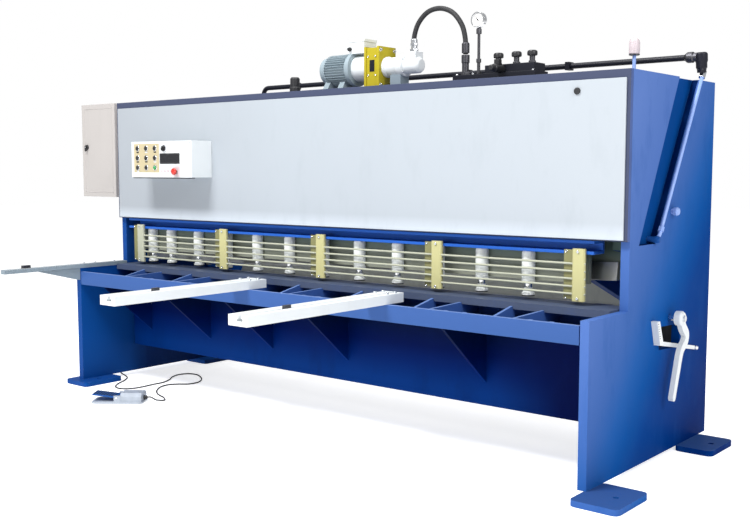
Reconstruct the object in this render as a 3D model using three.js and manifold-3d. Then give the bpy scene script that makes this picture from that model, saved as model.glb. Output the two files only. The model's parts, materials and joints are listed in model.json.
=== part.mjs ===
// Hydraulic swing-beam guillotine shear for sheet metal, cutting length 3.2 m.
// Millimetres, +Z up. X runs along the blades, -Y is the operator's side.
// While the parts are laid out, X = 0 is midway between the side plates, Y = 0 is the front
// face of the panel frame and Z = 0 is the floor. The last lines move the origin to the middle
// of the footprint.
import * as THREE from 'three';
import { mergeVertices } from 'three/addons/utils/BufferGeometryUtils.js';
import Module from 'manifold-3d';

const wasm = await Module();
wasm.setup();

// ---------------------------------------------------------------- driving dimensions
const GAP = 0.3; // between pieces that touch
const HALF_WIDTH = 1725; // middle to the outer face of a side plate
const PLATE = 40; // side plate thickness
const INSIDE = HALF_WIDTH - PLATE;
const TOP = 1720; // top of the side plates
const REAR = 906; // rear edge of the side plates
const LEG_FRONT = -322; // front edge of the legs
const LEG_TOP = 712;
const FOOT_T = 25;
const FRAME_T = 22; // depth of the panel frame
const PANEL_BOTTOM = 1007;
const TABLE_TOP = 720;
const RAIL_TOP = 690;
const RAIL_BOTTOM = 612;

const BLADE_LENGTH = 3200;
const BLADE_T = 20;
const BLADE_H = 80;
const LOWER_BLADE_Y = 125; // front face of the lower blade
const RAKE = 84; // rise of the upper blade over its length, 1.5 degrees
const PLAN_TAPER = -3; // the raised end is set forward so that the gap stays even

const PIVOT_Y = 720; // swing beam pivot
const PIVOT_Z = 690;
const SWING_DEG = 11.2; // from fully open to fully closed
const SHAFT_R = 48.5;
const BORE_R = 50;
const BORE_SKIN = 10; // the pivot bores are blind, closed on the outside
const RECESS_SKIN = 8; // left behind the slanted pipe recess

const STATIONS = 13; // hold-down cylinders
const STATION_SECOND = -1313;
const STATION_PITCH = 252;
const FIRST_PITCH = 178; // the first two stand closer together, where the cut begins
const HOLD_Y = 80;

const CYLINDER_X = 1622; // main cylinders
const CYLINDER_SLANT = Math.atan2(390, 705);
const THRUST_RADIUS = 603.4; // pivot to the centre of the ball seat

const TOP_Y = 250; // centre line of the units on top
const FILLER_X = -420;
const LEVER_Y = 446; // gap lever shaft
const LEVER_Z = 642;

// ---------------------------------------------------------------- finishes
const finish = (color, roughness, metalness) =>
  new THREE.MeshStandardMaterial({ color, roughness, metalness });
const FINISH = {
  blue: [0x2b56b8, 0.45, 0.1],
  navy: [0x14245f, 0.5, 0.1],
  panel: [0xdbe0ea, 0.45, 0.1],
  white: [0xf1f3f5, 0.4, 0.1],
  yellow: [0xe6cf3c, 0.45, 0.1],
  black: [0x17181c, 0.45, 0.2],
  grey: [0x9aa3b0, 0.5, 0.3],
  steel: [0xb8bcc2, 0.3, 0.9],
  brass: [0xb99b52, 0.35, 0.9],
  rubber: [0x2a2b2e, 0.8, 0.0],
  red: [0xc0392b, 0.4, 0.0],
  green: [0x2f8f4e, 0.4, 0.0],
};

// ---------------------------------------------------------------- solids
function solidOf(geometry) {
  const bare = geometry.clone();
  bare.deleteAttribute('normal');
  bare.deleteAttribute('uv');
  const merged = mergeVertices(bare, 1e-4);
  return new wasm.Manifold(new wasm.Mesh({
    numProp: 3,
    vertProperties: new Float32Array(merged.attributes.position.array),
    triVerts: new Uint32Array(merged.index.array),
  }));
}

function geometryOf(solid) {
  const mesh = solid.getMesh();
  const geometry = new THREE.BufferGeometry();
  geometry.setAttribute('position', new THREE.BufferAttribute(new Float32Array(mesh.vertProperties), 3));
  geometry.setIndex(new THREE.BufferAttribute(new Uint32Array(mesh.triVerts), 1));
  geometry.computeVertexNormals();
  return geometry;
}

function join(...parts) {
  const [first, ...others] = parts.flat().map(solidOf);
  return geometryOf(others.reduce((sum, part) => sum.add(part), first));
}

function cut(body, ...tools) {
  return geometryOf(tools.flat().map(solidOf).reduce((rest, tool) => rest.subtract(tool), solidOf(body)));
}

function block(x0, x1, y0, y1, z0, z1) {
  const geometry = new THREE.BoxGeometry(x1 - x0, y1 - y0, z1 - z0);
  return geometry.translate((x0 + x1) / 2, (y0 + y1) / 2, (z0 + z1) / 2);
}

function rodX(r, x0, x1, y, z, sides = 16) {
  const geometry = new THREE.CylinderGeometry(r, r, x1 - x0, sides).rotateZ(-Math.PI / 2);
  return geometry.translate((x0 + x1) / 2, y, z);
}

function rodY(r, y0, y1, x, z, sides = 16) {
  return new THREE.CylinderGeometry(r, r, y1 - y0, sides).translate(x, (y0 + y1) / 2, z);
}

function rodZ(r, z0, z1, x, y, sides = 16) {
  return new THREE.CylinderGeometry(r, r, z1 - z0, sides).rotateX(Math.PI / 2).translate(x, y, (z0 + z1) / 2);
}

function ball(r, x, y, z, sides = 16) {
  return new THREE.SphereGeometry(r, sides, sides / 2).translate(x, y, z);
}

function outline(points, radius = 0) {
  const shape = new THREE.Shape();
  const count = points.length;
  points.forEach(([a, b], i) => {
    const here = new THREE.Vector2(a, b);
    const toPrevious = new THREE.Vector2(...points[(i + count - 1) % count]).sub(here).setLength(radius);
    const toNext = new THREE.Vector2(...points[(i + 1) % count]).sub(here).setLength(radius);
    const start = here.clone().add(toPrevious);
    const end = here.clone().add(toNext);
    if (i === 0) shape.moveTo(start.x, start.y);
    else shape.lineTo(start.x, start.y);
    if (radius > 0) shape.quadraticCurveTo(a, b, end.x, end.y);
  });
  return shape;
}

function extrude(shape, depth) {
  return new THREE.ExtrudeGeometry(shape, { depth, bevelEnabled: false, curveSegments: 4 });
}

// Outline points are (y, z) and the plate runs from x0 to x1.
function plateX(points, x0, x1, radius = 0) {
  const turn = new THREE.Matrix4().makeBasis(
    new THREE.Vector3(0, 1, 0), new THREE.Vector3(0, 0, 1), new THREE.Vector3(1, 0, 0));
  return extrude(outline(points, radius), x1 - x0).applyMatrix4(turn).translate(x0, 0, 0);
}

// Outline points are (x, z) and the plate runs from y0 to y1.
function plateY(points, y0, y1, radius = 0) {
  return extrude(outline(points, radius), y1 - y0).rotateX(Math.PI / 2).translate(0, y1, 0);
}

// Outline points are (x, y) and the plate runs from z0 to z1.
function plateZ(points, z0, z1, radius = 0) {
  return extrude(outline(points, radius), z1 - z0).translate(0, 0, z0);
}

function corners(x0, x1, y0, y1) {
  return [[x0, y0], [x1, y0], [x1, y1], [x0, y1]];
}

function tubeAlong(points, radius, sides, steps) {
  const section = new THREE.Shape();
  for (let i = 0; i < sides; i += 1) {
    const turn = (2 * Math.PI * i) / sides;
    const a = radius * Math.cos(turn);
    const b = radius * Math.sin(turn);
    if (i === 0) section.moveTo(a, b);
    else section.lineTo(a, b);
  }
  const path = new THREE.CatmullRomCurve3(points.map((p) => new THREE.Vector3(...p)), false, 'centripetal');
  return new THREE.ExtrudeGeometry(section, { steps, bevelEnabled: false, extrudePath: path });
}

// ---------------------------------------------------------------- scene graph
const machine = new THREE.Group();

function add(name, geometry, finishName, parent = machine) {
  const mesh = new THREE.Mesh(geometry, finish(...FINISH[finishName]));
  mesh.name = name;
  parent.add(mesh);
  return mesh;
}

// ---------------------------------------------------------------- side plates and feet
function foot(x0, x1, y0, y1, boltX) {
  const pad = plateZ(corners(x0, x1, y0, y1), 0, FOOT_T + 1, 30);
  return cut(pad, rodZ(13, -1, FOOT_T + 2, boltX, (y0 + y1) / 2, 12));
}

function sidePlate(side) {
  const profile = [[LEG_FRONT, FOOT_T], [REAR, FOOT_T], [REAR, TOP], [FRAME_T + GAP, TOP],
    [FRAME_T + GAP, LEG_TOP], [LEG_FRONT, LEG_TOP]];
  const x0 = Math.min(side * HALF_WIDTH, side * INSIDE);
  const x1 = x0 + PLATE;
  if (side < 0) {
    const feet = [[-382, -112], [560, 830]].map(([y0, y1]) => foot(-1785, -1575, y0, y1, -1630));
    return cut(join(plateX(profile, x0, x1), feet), rodX(BORE_R, x0 + BORE_SKIN, x1 + 1, PIVOT_Y, PIVOT_Z, 24));
  }
  const feet = [foot(1715, 1925, -452, -172, 1850), foot(1715, 1895, 560, 830, 1840)];
  const plate = join(plateX(profile, x0, x1), feet);
  const pivotBore = rodX(BORE_R, x0 - 1, x1 - BORE_SKIN, PIVOT_Y, PIVOT_Z, 24);
  const cylinderRecess = plateX([[110, 985], [278, 985], [708, TOP + 1], [490, TOP + 1]], x0 + RECESS_SKIN, x1 + 1);
  const leverWindow = plateX([[338, 505], [568, 495], [568, 600], [338, 610]], x0 - 1, x1 + 1, 8);
  const leverBore = rodX(16, x0 - 1, x1 + 1, LEVER_Y, LEVER_Z);
  return cut(plate, pivotBore, cylinderRecess, leverWindow, leverBore);
}

// ---------------------------------------------------------------- table
const TABLE_HALF = INSIDE - 5;
const TABLE_REAR = LOWER_BLADE_Y - GAP;
const RIB_PITCH = 435;
const RIB_FIRST = -1245;
const RIB_COUNT = 7;

function workTable() {
  const parts = [
    block(-TABLE_HALF, TABLE_HALF, -60, TABLE_REAR, 688, TABLE_TOP),
    block(-TABLE_HALF, TABLE_HALF, 84, TABLE_REAR, 420, 700),
    block(-TABLE_HALF, TABLE_HALF, 100, 144, 560, TABLE_TOP - BLADE_H - GAP),
    block(-TABLE_HALF, TABLE_HALF, LEG_FRONT, LEG_FRONT + 24, RAIL_BOTTOM, RAIL_TOP),
    block(-TABLE_HALF, TABLE_HALF, LEG_FRONT + 10, 90, RAIL_BOTTOM, RAIL_BOTTOM + 16),
  ];
  for (let i = 0; i < RIB_COUNT; i += 1) {
    const x = RIB_FIRST + i * RIB_PITCH;
    const rib = [[LEG_FRONT + 20, 620], [90, 620], [90, 700], [LEG_FRONT + 20, RAIL_TOP]];
    parts.push(plateX(rib, x - 7, x + 7));
    const brace = [[LEG_FRONT + 20, 620], [-40, 620], [-40, 706], [LEG_FRONT + 20, 652]];
    parts.push(plateX(brace, x - 167, x - 153));
    [50, 150].forEach((offset) => {
      if (x + offset > TABLE_HALF) return;
      parts.push(block(x + offset - 11, x + offset + 11, -262, -240, 620, 682));
    });
  }
  return join(parts);
}

const APRON_BOTTOM = 197;
const APRON_BACK = 84;
const GUSSETS = [-1500, -950, -430, 130, 990];

function frontApron() {
  const top = RAIL_BOTTOM - GAP;
  const wall = block(-TABLE_HALF, TABLE_HALF, APRON_BACK - 22, APRON_BACK, APRON_BOTTOM, top);
  const gussets = GUSSETS.map((x) =>
    plateX([[-296, top], [APRON_BACK - 10, top], [APRON_BACK - 10, 296]], x - 8, x + 8));
  return join(wall, gussets);
}

function lowerBlade() {
  const half = BLADE_LENGTH / 2;
  return block(-half, half, LOWER_BLADE_Y, LOWER_BLADE_Y + BLADE_T, TABLE_TOP - BLADE_H, TABLE_TOP);
}

// ---------------------------------------------------------------- hold-downs and finger guard
const CHANNEL_BOTTOM = 943;
const CHANNEL_TOP = 1004;
const CHANNEL_REAR = 124;

function stationX(i) {
  return i === 0 ? STATION_SECOND - FIRST_PITCH : STATION_SECOND + (i - 1) * STATION_PITCH;
}

function pressBeam() {
  const left = -1660;
  const right = 1560;
  const channel = [[26, CHANNEL_BOTTOM], [CHANNEL_REAR, CHANNEL_BOTTOM], [CHANNEL_REAR, CHANNEL_TOP],
    [26, CHANNEL_TOP], [26, CHANNEL_TOP - 14], [CHANNEL_REAR - 14, CHANNEL_TOP - 14],
    [CHANNEL_REAR - 14, CHANNEL_BOTTOM + 14], [26, CHANNEL_BOTTOM + 14]];
  return join(
    plateX(channel, left, right),
    block(left, right, 60, 80, CHANNEL_TOP - 8, 1380),
    block(-INSIDE + GAP, INSIDE - GAP, 40, 100, 1180, 1260),
  );
}

function holdDownCylinders() {
  const bar = block(-1655, 1500, 100, CHANNEL_REAR, 806, CHANNEL_BOTTOM - GAP);
  const barrels = [];
  const bores = [];
  for (let i = 0; i < STATIONS; i += 1) {
    barrels.push(rodZ(31, 796, CHANNEL_BOTTOM - GAP, stationX(i), HOLD_Y, 10));
    bores.push(rodZ(22, 780, 920, stationX(i), HOLD_Y, 8));
  }
  return cut(join(bar, barrels), bores);
}

const PLUNGER_FOOT = 735; // underside of a raised hold-down foot

function holdDownPlunger() {
  return new THREE.LatheGeometry([
    new THREE.Vector2(0, 0), new THREE.Vector2(30, 0), new THREE.Vector2(30, 16),
    new THREE.Vector2(19, 30), new THREE.Vector2(19, 160), new THREE.Vector2(0, 160),
  ], 8).rotateX(Math.PI / 2);
}

const GUARD_Y = 15;
const POST_FIRST = -1529;
const POST_PITCH = 756;
const POST_COUNT = 5;
const POST_HALF = 30;

function fingerGuard() {
  const parts = [];
  for (let i = 0; i < POST_COUNT; i += 1) {
    const x = POST_FIRST + i * POST_PITCH;
    parts.push(block(x - POST_HALF, x + POST_HALF, GUARD_Y - 9, GUARD_Y + 9, 738, 968));
    parts.push(block(x - 8, x + 8, GUARD_Y - 5, 32, CHANNEL_BOTTOM + 14 + GAP, 968));
    parts.push(block(x - POST_HALF - 46, x - POST_HALF + 1, GUARD_Y + 6, GUARD_Y + 9, 746, 962));
  }
  const last = POST_FIRST + (POST_COUNT - 1) * POST_PITCH;
  for (let i = 0; i < 5; i += 1) {
    parts.push(rodX(5, POST_FIRST - POST_HALF - 3, last + POST_HALF + 3, GUARD_Y, 770 + i * 33, 6));
  }
  return join(parts);
}

// ---------------------------------------------------------------- upper housing
function panelFrame() {
  const plate = block(-HALF_WIDTH, HALF_WIDTH, 0, FRAME_T, PANEL_BOTTOM, TOP);
  return cut(plate, block(-HALF_WIDTH + 15, HALF_WIDTH - 15, 5, FRAME_T + 1, PANEL_BOTTOM + 14, TOP - 14));
}

function oilTank() {
  const half = INSIDE - GAP;
  const body = block(-half, half, 130, 330, 1400, TOP - 4);
  const cover = block(-half, half, FRAME_T + GAP, 420, TOP - 5, TOP);
  const oilSpace = block(-half + 10, half - 10, 140, 320, 1410, TOP - 8);
  const fillerHole = rodZ(20, TOP - 20, TOP + 1, FILLER_X, TOP_Y, 12);
  return cut(join(body, cover), oilSpace, fillerHole);
}

const BELL_X0 = 145;
const BELL_X1 = 245;

function motor() {
  const z = 1838;
  const shell = [
    rodX(82, -155, 30, TOP_Y, z, 24),
    rodX(72, -172, -150, TOP_Y, z, 24),
    rodX(92, 25, 52, TOP_Y, z, 24),
    rodX(66, 45, BELL_X0 - GAP, TOP_Y, z, 20),
  ];
  const feet = [-125, -20].map((x) => block(x - 20, x + 20, TOP_Y - 76, TOP_Y + 76, TOP + GAP, TOP + 60));
  const terminalBox = block(10, 130, TOP_Y - 50, TOP_Y + 50, z + 50, z + 150);
  return join(shell, feet, terminalBox);
}

function bellHousing() {
  const body = plateX(corners(TOP_Y - 70, TOP_Y + 70, TOP + 2, 1940), BELL_X0, BELL_X1, 18);
  return join(body, block(BELL_X0 + 10, BELL_X1 - 10, TOP_Y - 50, TOP_Y + 50, TOP + GAP, 1740));
}

function pump() {
  return join(
    rodX(54, BELL_X1 + GAP, 375, TOP_Y, 1835, 20),
    rodX(42, 370, 470, TOP_Y, 1835, 20),
    block(388, 452, TOP_Y - 32, TOP_Y + 32, 1835, 1902),
    block(290, 360, TOP_Y - 36, TOP_Y + 36, TOP + GAP, 1790),
    rodZ(20, 1895, 1932, 420, TOP_Y, 12),
  );
}

const HOSE_R = 13;
const HOSE_END_X = 735;

function pressureHose() {
  return tubeAlong([
    [420, TOP_Y, 1932 + GAP], [420, TOP_Y, 1975], [445, TOP_Y, 2040], [505, TOP_Y, 2092], [580, TOP_Y, 2103],
    [655, TOP_Y, 2076], [712, TOP_Y, 2010], [732, TOP_Y, 1945], [HOSE_END_X, TOP_Y, 1900],
    [HOSE_END_X, TOP_Y, 1868 + GAP],
  ], HOSE_R, 8, 26);
}

function valveManifold() {
  const parts = [
    block(700, 1160, TOP_Y - 60, TOP_Y + 60, TOP + GAP, 1762),
    block(880, 1150, TOP_Y - 50, TOP_Y + 50, 1755, 1800),
    rodZ(19, 1755, 1868, HOSE_END_X, TOP_Y, 12),
  ];
  [925, 1025, 1110].forEach((x) => {
    parts.push(rodZ(13, 1795, 1848, x, TOP_Y, 12));
    parts.push(rodZ(24, 1836, 1860, x, TOP_Y, 12));
  });
  parts.push(rodY(20, TOP_Y - 150, TOP_Y + 150, 975, 1778, 12));
  return join(parts);
}

const GAUGE_X = 812;

function pressureGauge() {
  return join(
    rodY(38, TOP_Y - 16, TOP_Y + 16, GAUGE_X, 2025, 20),
    rodZ(8, 1762 + GAP, 2000, GAUGE_X, TOP_Y, 10),
    rodZ(14, 1800, 1820, GAUGE_X, TOP_Y, 6),
    rodZ(14, 1965, 1992, GAUGE_X, TOP_Y, 6),
  );
}

function fillerCap() {
  return join(rodZ(38, TOP + GAP, 1745, FILLER_X, TOP_Y, 16), rodZ(26, 1740, 1822, FILLER_X, TOP_Y, 16));
}

// A folded sheet behind the back gauge, open below for the cut pieces.
function rearGuard() {
  const half = HALF_WIDTH - 35;
  const sheet = block(-half, half, 946, 949, 330, 1000);
  const returns = [-1, 1].map((side) => {
    const x = side * (half - 10);
    return block(x - 10, x + 10, REAR + GAP, 949, 330, 1000);
  });
  const stiffener = block(-half, half, 942, 949, 330, 345);
  return join(sheet, returns, stiffener);
}

// The pipe that joins the two main cylinders in series runs over the top of the machine.
const SERIES_Y = 620;
const SERIES_Z = 1815;

function seriesPipe() {
  return join(
    rodX(14, -1050, 1755, SERIES_Y, SERIES_Z, 12),
    rodZ(14, 1650, SERIES_Z, -1050, SERIES_Y, 12),
    ball(15, -1050, SERIES_Y, SERIES_Z, 12),
    rodX(22, 1700, 1742, SERIES_Y, SERIES_Z, 12),
    ball(28, 1764, SERIES_Y + 12, SERIES_Z - 8),
  );
}

function downPipe() {
  const top = new THREE.Vector3(1764, 662, 1768);
  const bottom = new THREE.Vector3(1744, 262, 1004);
  const length = top.distanceTo(bottom);
  const direction = top.clone().sub(bottom).normalize();
  const pipe = new THREE.CylinderGeometry(8, 8, length, 10);
  const nut = new THREE.CylinderGeometry(19, 19, 34, 6).translate(0, length / 2 - 22, 0);
  const turned = join(pipe, nut).applyQuaternion(
    new THREE.Quaternion().setFromUnitVectors(new THREE.Vector3(0, 1, 0), direction));
  const middle = top.clone().add(bottom).multiplyScalar(0.5);
  turned.translate(middle.x, middle.y, middle.z);
  return join(turned, rodX(13, 1694, 1752, bottom.y, bottom.z, 12), ball(13, 1744, bottom.y, bottom.z, 12));
}

// ---------------------------------------------------------------- electric cabinet and control box
const CABINET_X0 = -2072;
const CABINET_X1 = -HALF_WIDTH - GAP;
const CABINET_Z0 = 1135;
const CABINET_D = 260;
const DOOR_T = 18;

function electricCabinet() {
  const shell = block(CABINET_X0, CABINET_X1, 0, CABINET_D, CABINET_Z0, TOP);
  const inside = block(CABINET_X0 + 8, CABINET_X1 - 8, -1, CABINET_D - 8, CABINET_Z0 + 8, TOP - 8);
  const backPlate = block(CABINET_X0 + 30, CABINET_X1 - 30, CABINET_D - 24, CABINET_D - 4,
    CABINET_Z0 + 40, TOP - 40);
  return join(cut(shell, inside), backPlate);
}

function cabinetDoor() {
  const door = block(CABINET_X0, CABINET_X1 - 2, -DOOR_T - GAP, -GAP, CABINET_Z0, TOP);
  return cut(door, rodY(9, -DOOR_T - 2, 2, LOCK_X, LOCK_Z, 12));
}

const LOCK_X = -2020;
const LOCK_Z = 1450;

function doorLock() {
  return join(
    rodY(16, -DOOR_T - 9, -DOOR_T - 2 * GAP, LOCK_X, LOCK_Z, 16),
    block(LOCK_X - 5, LOCK_X + 5, -DOOR_T - 18, -DOOR_T - 8, LOCK_Z - 26, LOCK_Z + 12),
    rodY(7.5, -DOOR_T - 4, -2, LOCK_X, LOCK_Z, 12),
  );
}

const BOX_X0 = -1375;
const BOX_X1 = -835;
const BOX_Z0 = 1262;
const BOX_Z1 = 1470;
const BOX_FRONT = -158;
const PANEL_FRONT = -8;
const START = [-1155, 1318];
const STOP = [-1235, 1318];
const ESTOP = [-965, 1296];
const SELECTOR = [-1073, 1428];

function controlBox() {
  const box = block(BOX_X0, BOX_X1, BOX_FRONT, PANEL_FRONT - GAP, BOX_Z0, BOX_Z1);
  const holes = [START, STOP, ESTOP, SELECTOR].map(([x, z]) => rodY(13, BOX_FRONT - 1, BOX_FRONT + 24, x, z, 12));
  return cut(box, holes);
}

function pushButton([x, z]) {
  return rodY(11, BOX_FRONT - 10, BOX_FRONT + 8, x, z, 16);
}

function emergencyStop([x, z]) {
  return join(rodY(20, BOX_FRONT - 30, BOX_FRONT - 12, x, z, 20), rodY(9, BOX_FRONT - 14, BOX_FRONT + 10, x, z, 12));
}

function selector([x, z]) {
  return join(
    rodY(15, BOX_FRONT - 12, BOX_FRONT - GAP, x, z, 16),
    block(x - 4, x + 4, BOX_FRONT - 22, BOX_FRONT - 10, z - 13, z + 13),
    rodY(9, BOX_FRONT - 4, BOX_FRONT + 10, x, z, 12),
  );
}

// ---------------------------------------------------------------- arms
const ARM_TOP = 735;
const ARM_HALF = 55;

function supportArm(x, front) {
  const bar = block(x - ARM_HALF, x + ARM_HALF, front, -190, RAIL_TOP + GAP, ARM_TOP);
  const slot = block(x + 2, x + 20, front - 1, LEG_FRONT - 20, ARM_TOP - 26, ARM_TOP + 1);
  return cut(bar, slot);
}

function squaringArm() {
  const x0 = -1722;
  const x1 = -TABLE_HALF - 1;
  const bar = block(x0, x1, -825, 18, LEG_TOP + GAP, LEG_TOP + 24);
  const web = plateX([[-620, LEG_TOP + 2], [LEG_FRONT - GAP, LEG_TOP + 2], [LEG_FRONT - GAP, 640]], -1700, -1686);
  const stop = block(x0 + 6, x1 - 12, -700, -650, LEG_TOP + 20, LEG_TOP + 42);
  return join(bar, web, stop);
}

// ---------------------------------------------------------------- gap lever
const LEVER_X0 = 1744;
const LEVER_X1 = 1766;

function gapLever() {
  const y = LEVER_Y;
  const z = LEVER_Z;
  const grip = [[y - 24, z + 10], [y + 24, z + 12], [y + 30, z - 22], [y + 82, z - 78], [y + 78, z - 118],
    [y + 27, z - 160], [y - 14, z - 252], [y - 58, z - 372], [y - 86, z - 362], [y - 47, z - 240],
    [y - 10, z - 146], [y + 36, z - 106], [y + 38, z - 88], [y - 16, z - 34]];
  return join(
    plateX(grip, LEVER_X0, LEVER_X1, 8),
    rodX(34, LEVER_X0 - 6, LEVER_X1 + 8, y, z, 20),
    rodX(14.5, INSIDE - 20, LEVER_X1 + 16, y, z, 16),
  );
}

function gapScale() {
  const x0 = HALF_WIDTH + GAP;
  const plate = plateX([[250, 646], [278, 646], [316, 552], [312, 536], [286, 536]], x0, x0 + 30, 3);
  const bar = plateX([[290, 536], [300, 554], [736, 474], [734, 456]], x0, x0 + 13);
  return join(plate, bar, rodX(11, x0, x0 + 24, 728, 466, 12));
}

// ---------------------------------------------------------------- foot switch and its cable
const PEDAL_X = -1113;
const PEDAL_Y = -476;
const PEDAL_TURN = 0.66;
const TREADLE_HINGE_Z = 34;

function footSwitchBase() {
  return join(
    plateZ(corners(-145, 145, -68, 68), 0, 12, 14),
    plateX([[-62, 10], [62, 10], [62, 40], [40, 58], [-40, 58], [-62, 40]], 18, 138),
    block(-16, 24, -64, -54, 8, 46),
    block(-16, 24, 54, 64, 8, 46),
    rodX(10, 134, 158, 0, 26, 12),
  );
}

function footTreadle() {
  const slab = new THREE.BoxGeometry(136, 100, 10).translate(-74, 0, 0).rotateY(0.12);
  return join(slab.translate(0, 0, TREADLE_HINGE_Z), rodY(7, -53.5, 53.5, 0, TREADLE_HINGE_Z, 12));
}

const CABLE_R = 4;
const FLOOR_LIE = CABLE_R + 0.3; // height of the cable's centre line where it lies on the floor
const GLAND_X = -1748;
const GLAND_Y = 150;
const GLAND_Z = 120;

function cableConduit() {
  return join(
    rodZ(12, GLAND_Z + 30, CABINET_Z0 - GAP, GLAND_X, GLAND_Y, 12),
    rodZ(15, GLAND_Z + 14, GLAND_Z + 44, GLAND_X, GLAND_Y, 6),
    rodZ(8, GLAND_Z, GLAND_Z + 20, GLAND_X, GLAND_Y, 10),
    [300, 700, 1050].map((z) => block(GLAND_X - 16, -HALF_WIDTH - GAP, GLAND_Y - 18, GLAND_Y + 18, z - 12, z + 12)),
  );
}

function pedalCable() {
  const lie = FLOOR_LIE;
  const gland = new THREE.Vector3(158 + GAP, 0, 26).applyAxisAngle(new THREE.Vector3(0, 0, 1), PEDAL_TURN);
  const ahead = new THREE.Vector3(178, 0, 26).applyAxisAngle(new THREE.Vector3(0, 0, 1), PEDAL_TURN);
  return tubeAlong([
    [PEDAL_X + gland.x, PEDAL_Y + gland.y, gland.z], [PEDAL_X + ahead.x, PEDAL_Y + ahead.y, ahead.z],
    [-942, -352, 12], [-930, -306, lie], [-985, -266, lie], [-1050, -244, lie], [-1117, -211, lie],
    [-1179, -158, lie], [-1228, -90, lie], [-1238, -25, lie], [-1205, 22, lie], [-1160, 62, lie],
    [-1152, 128, lie], [-1192, 194, lie], [-1262, 248, lie], [-1342, 282, lie], [-1402, 268, lie],
    [-1428, 212, lie], [-1404, 140, lie], [-1350, 70, lie], [-1318, -5, lie], [-1318, -80, lie],
    [-1312, -160, lie], [-1322, -230, lie], [-1370, -278, lie], [-1432, -270, lie], [-1498, -206, lie],
    [-1550, -120, lie], [-1612, -52, lie], [-1690, -16, lie], [-1765, 14, lie], [-1828, 62, lie], [-1850, 130, lie],
    [-1826, 184, lie], [-1786, 196, lie + 6], [-1756, 176, 34], [GLAND_X, GLAND_Y + 4, 72],
    [GLAND_X, GLAND_Y, GLAND_Z - GAP],
  ], CABLE_R, 8, 79);
}

// ---------------------------------------------------------------- swing beam, in its closed position
// Coordinates here are measured from the pivot, and the group is turned back to the open position.
const FACE_Y = 149.5 - PIVOT_Y; // front face of the upper blade
const WEB_Y = FACE_Y + BLADE_T + GAP;
const EDGE_Z = -60; // low end of the cutting edge
const WEB_HALF = INSIDE - 10;
const CHEEK_X = 1440;
const SEAT_ANGLE = THREE.MathUtils.degToRad(SWING_DEG / 2);
const THRUST_LINE = Math.atan2(Math.sin(CYLINDER_SLANT), Math.cos(CYLINDER_SLANT));

// Centre of the ball seat, from the pivot, after the beam has turned by angle from mid-stroke.
function ballSeat(angle) {
  const y = -THRUST_RADIUS * Math.cos(THRUST_LINE);
  const z = THRUST_RADIUS * Math.sin(THRUST_LINE);
  return [y * Math.cos(angle) - z * Math.sin(angle), y * Math.sin(angle) + z * Math.cos(angle)];
}

function upperBlade() {
  const half = BLADE_LENGTH / 2;
  const bar = block(-half, half, FACE_Y, FACE_Y + BLADE_T, EDGE_Z, EDGE_Z + BLADE_H);
  const position = bar.attributes.position;
  for (let i = 0; i < position.count; i += 1) {
    const along = (position.getX(i) + half) / BLADE_LENGTH;
    position.setY(i, position.getY(i) + PLAN_TAPER * along);
    position.setZ(i, position.getZ(i) + RAKE * along);
  }
  return bar;
}

function cheek(x0, x1) {
  const side = [[WEB_Y + 20, 20], [WEB_Y + 20, 508], [-392, 508], [-330, 420], [60, 80], [85, 30], [60, -62],
    [0, -86], [-60, -62]];
  return plateX(side, x0, x1);
}

function swingBeam() {
  const bottom = EDGE_Z + 4;
  const topZ = 510;
  const web = plateY([[-WEB_HALF, bottom], [WEB_HALF, bottom + RAKE * 1.04], [WEB_HALF, topZ], [-WEB_HALF, topZ]],
    WEB_Y, WEB_Y + 35);
  const parts = [web, block(-1540, 1540, WEB_Y + 5, -392, 485, topZ), block(-1540, 1540, WEB_Y + 5, -440, 205, 225)];
  [-1100, -550, 0, 550, 1100].forEach((x) => {
    parts.push(plateX([[WEB_Y + 20, 210], [-440, 210], [-395, 500], [WEB_Y + 20, 500]], x - 10, x + 10));
  });
  const [seatY, seatZ] = ballSeat(SEAT_ANGLE);
  const tools = [];
  [-1, 1].forEach((side) => {
    const inner = side * CHEEK_X;
    const outer = side * (CHEEK_X + 35);
    parts.push(cheek(Math.min(inner, outer), Math.max(inner, outer)));
    const shaftEnd = side * (HALF_WIDTH - BORE_SKIN - 3);
    parts.push(rodX(SHAFT_R, Math.min(inner, shaftEnd), Math.max(inner, shaftEnd), 0, 0, 24));
    const x = side * CYLINDER_X;
    parts.push(block(x - 50, x + 50, seatY - 32, WEB_Y + 75, seatZ - 85, seatZ));
    tools.push(ball(39.5, x, seatY, seatZ, 12));
    tools.push(block(x - 66, x + 66, WEB_Y - 60, WEB_Y + 90, seatZ + GAP, topZ + 5));
  });
  [-900, 900].forEach((x) => {
    parts.push(block(x - 25, x + 25, WEB_Y + 20, 185, 140, 180));
    parts.push(block(x - 25, x + 25, 170, 185, 85, 150));
    tools.push(rodY(17, 160, 190, x, SCREW_Z, 16));
  });
  return cut(join(parts), tools);
}

const SCREW_Z = 110;
const GAUGE_Y = -175;

function backgaugeScrew(x) {
  return join(
    rodY(13, WEB_Y + 35 + GAP, 200, x, SCREW_Z, 12),
    rodY(24, 186, 198, x, SCREW_Z, 16),
  );
}

function backgaugeBeam() {
  const bar = block(-1300, 1300, GAUGE_Y, GAUGE_Y + 18, 50, 130);
  const shelf = block(-1300, 1300, GAUGE_Y, GAUGE_Y + 60, 50, 66);
  const nuts = [-900, 900].map((x) => block(x - 32, x + 32, GAUGE_Y, GAUGE_Y + 62, 60, 136));
  const bores = [-900, 900].map((x) => rodY(15, GAUGE_Y - 1, GAUGE_Y + 70, x, SCREW_Z, 16));
  return cut(join(bar, shelf, nuts), bores);
}

// ---------------------------------------------------------------- main cylinders
// Each cylinder is drawn along its own axis, from the ball at its foot upwards.
const BARREL_START = 70;
const BARREL_END = 640;

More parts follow.
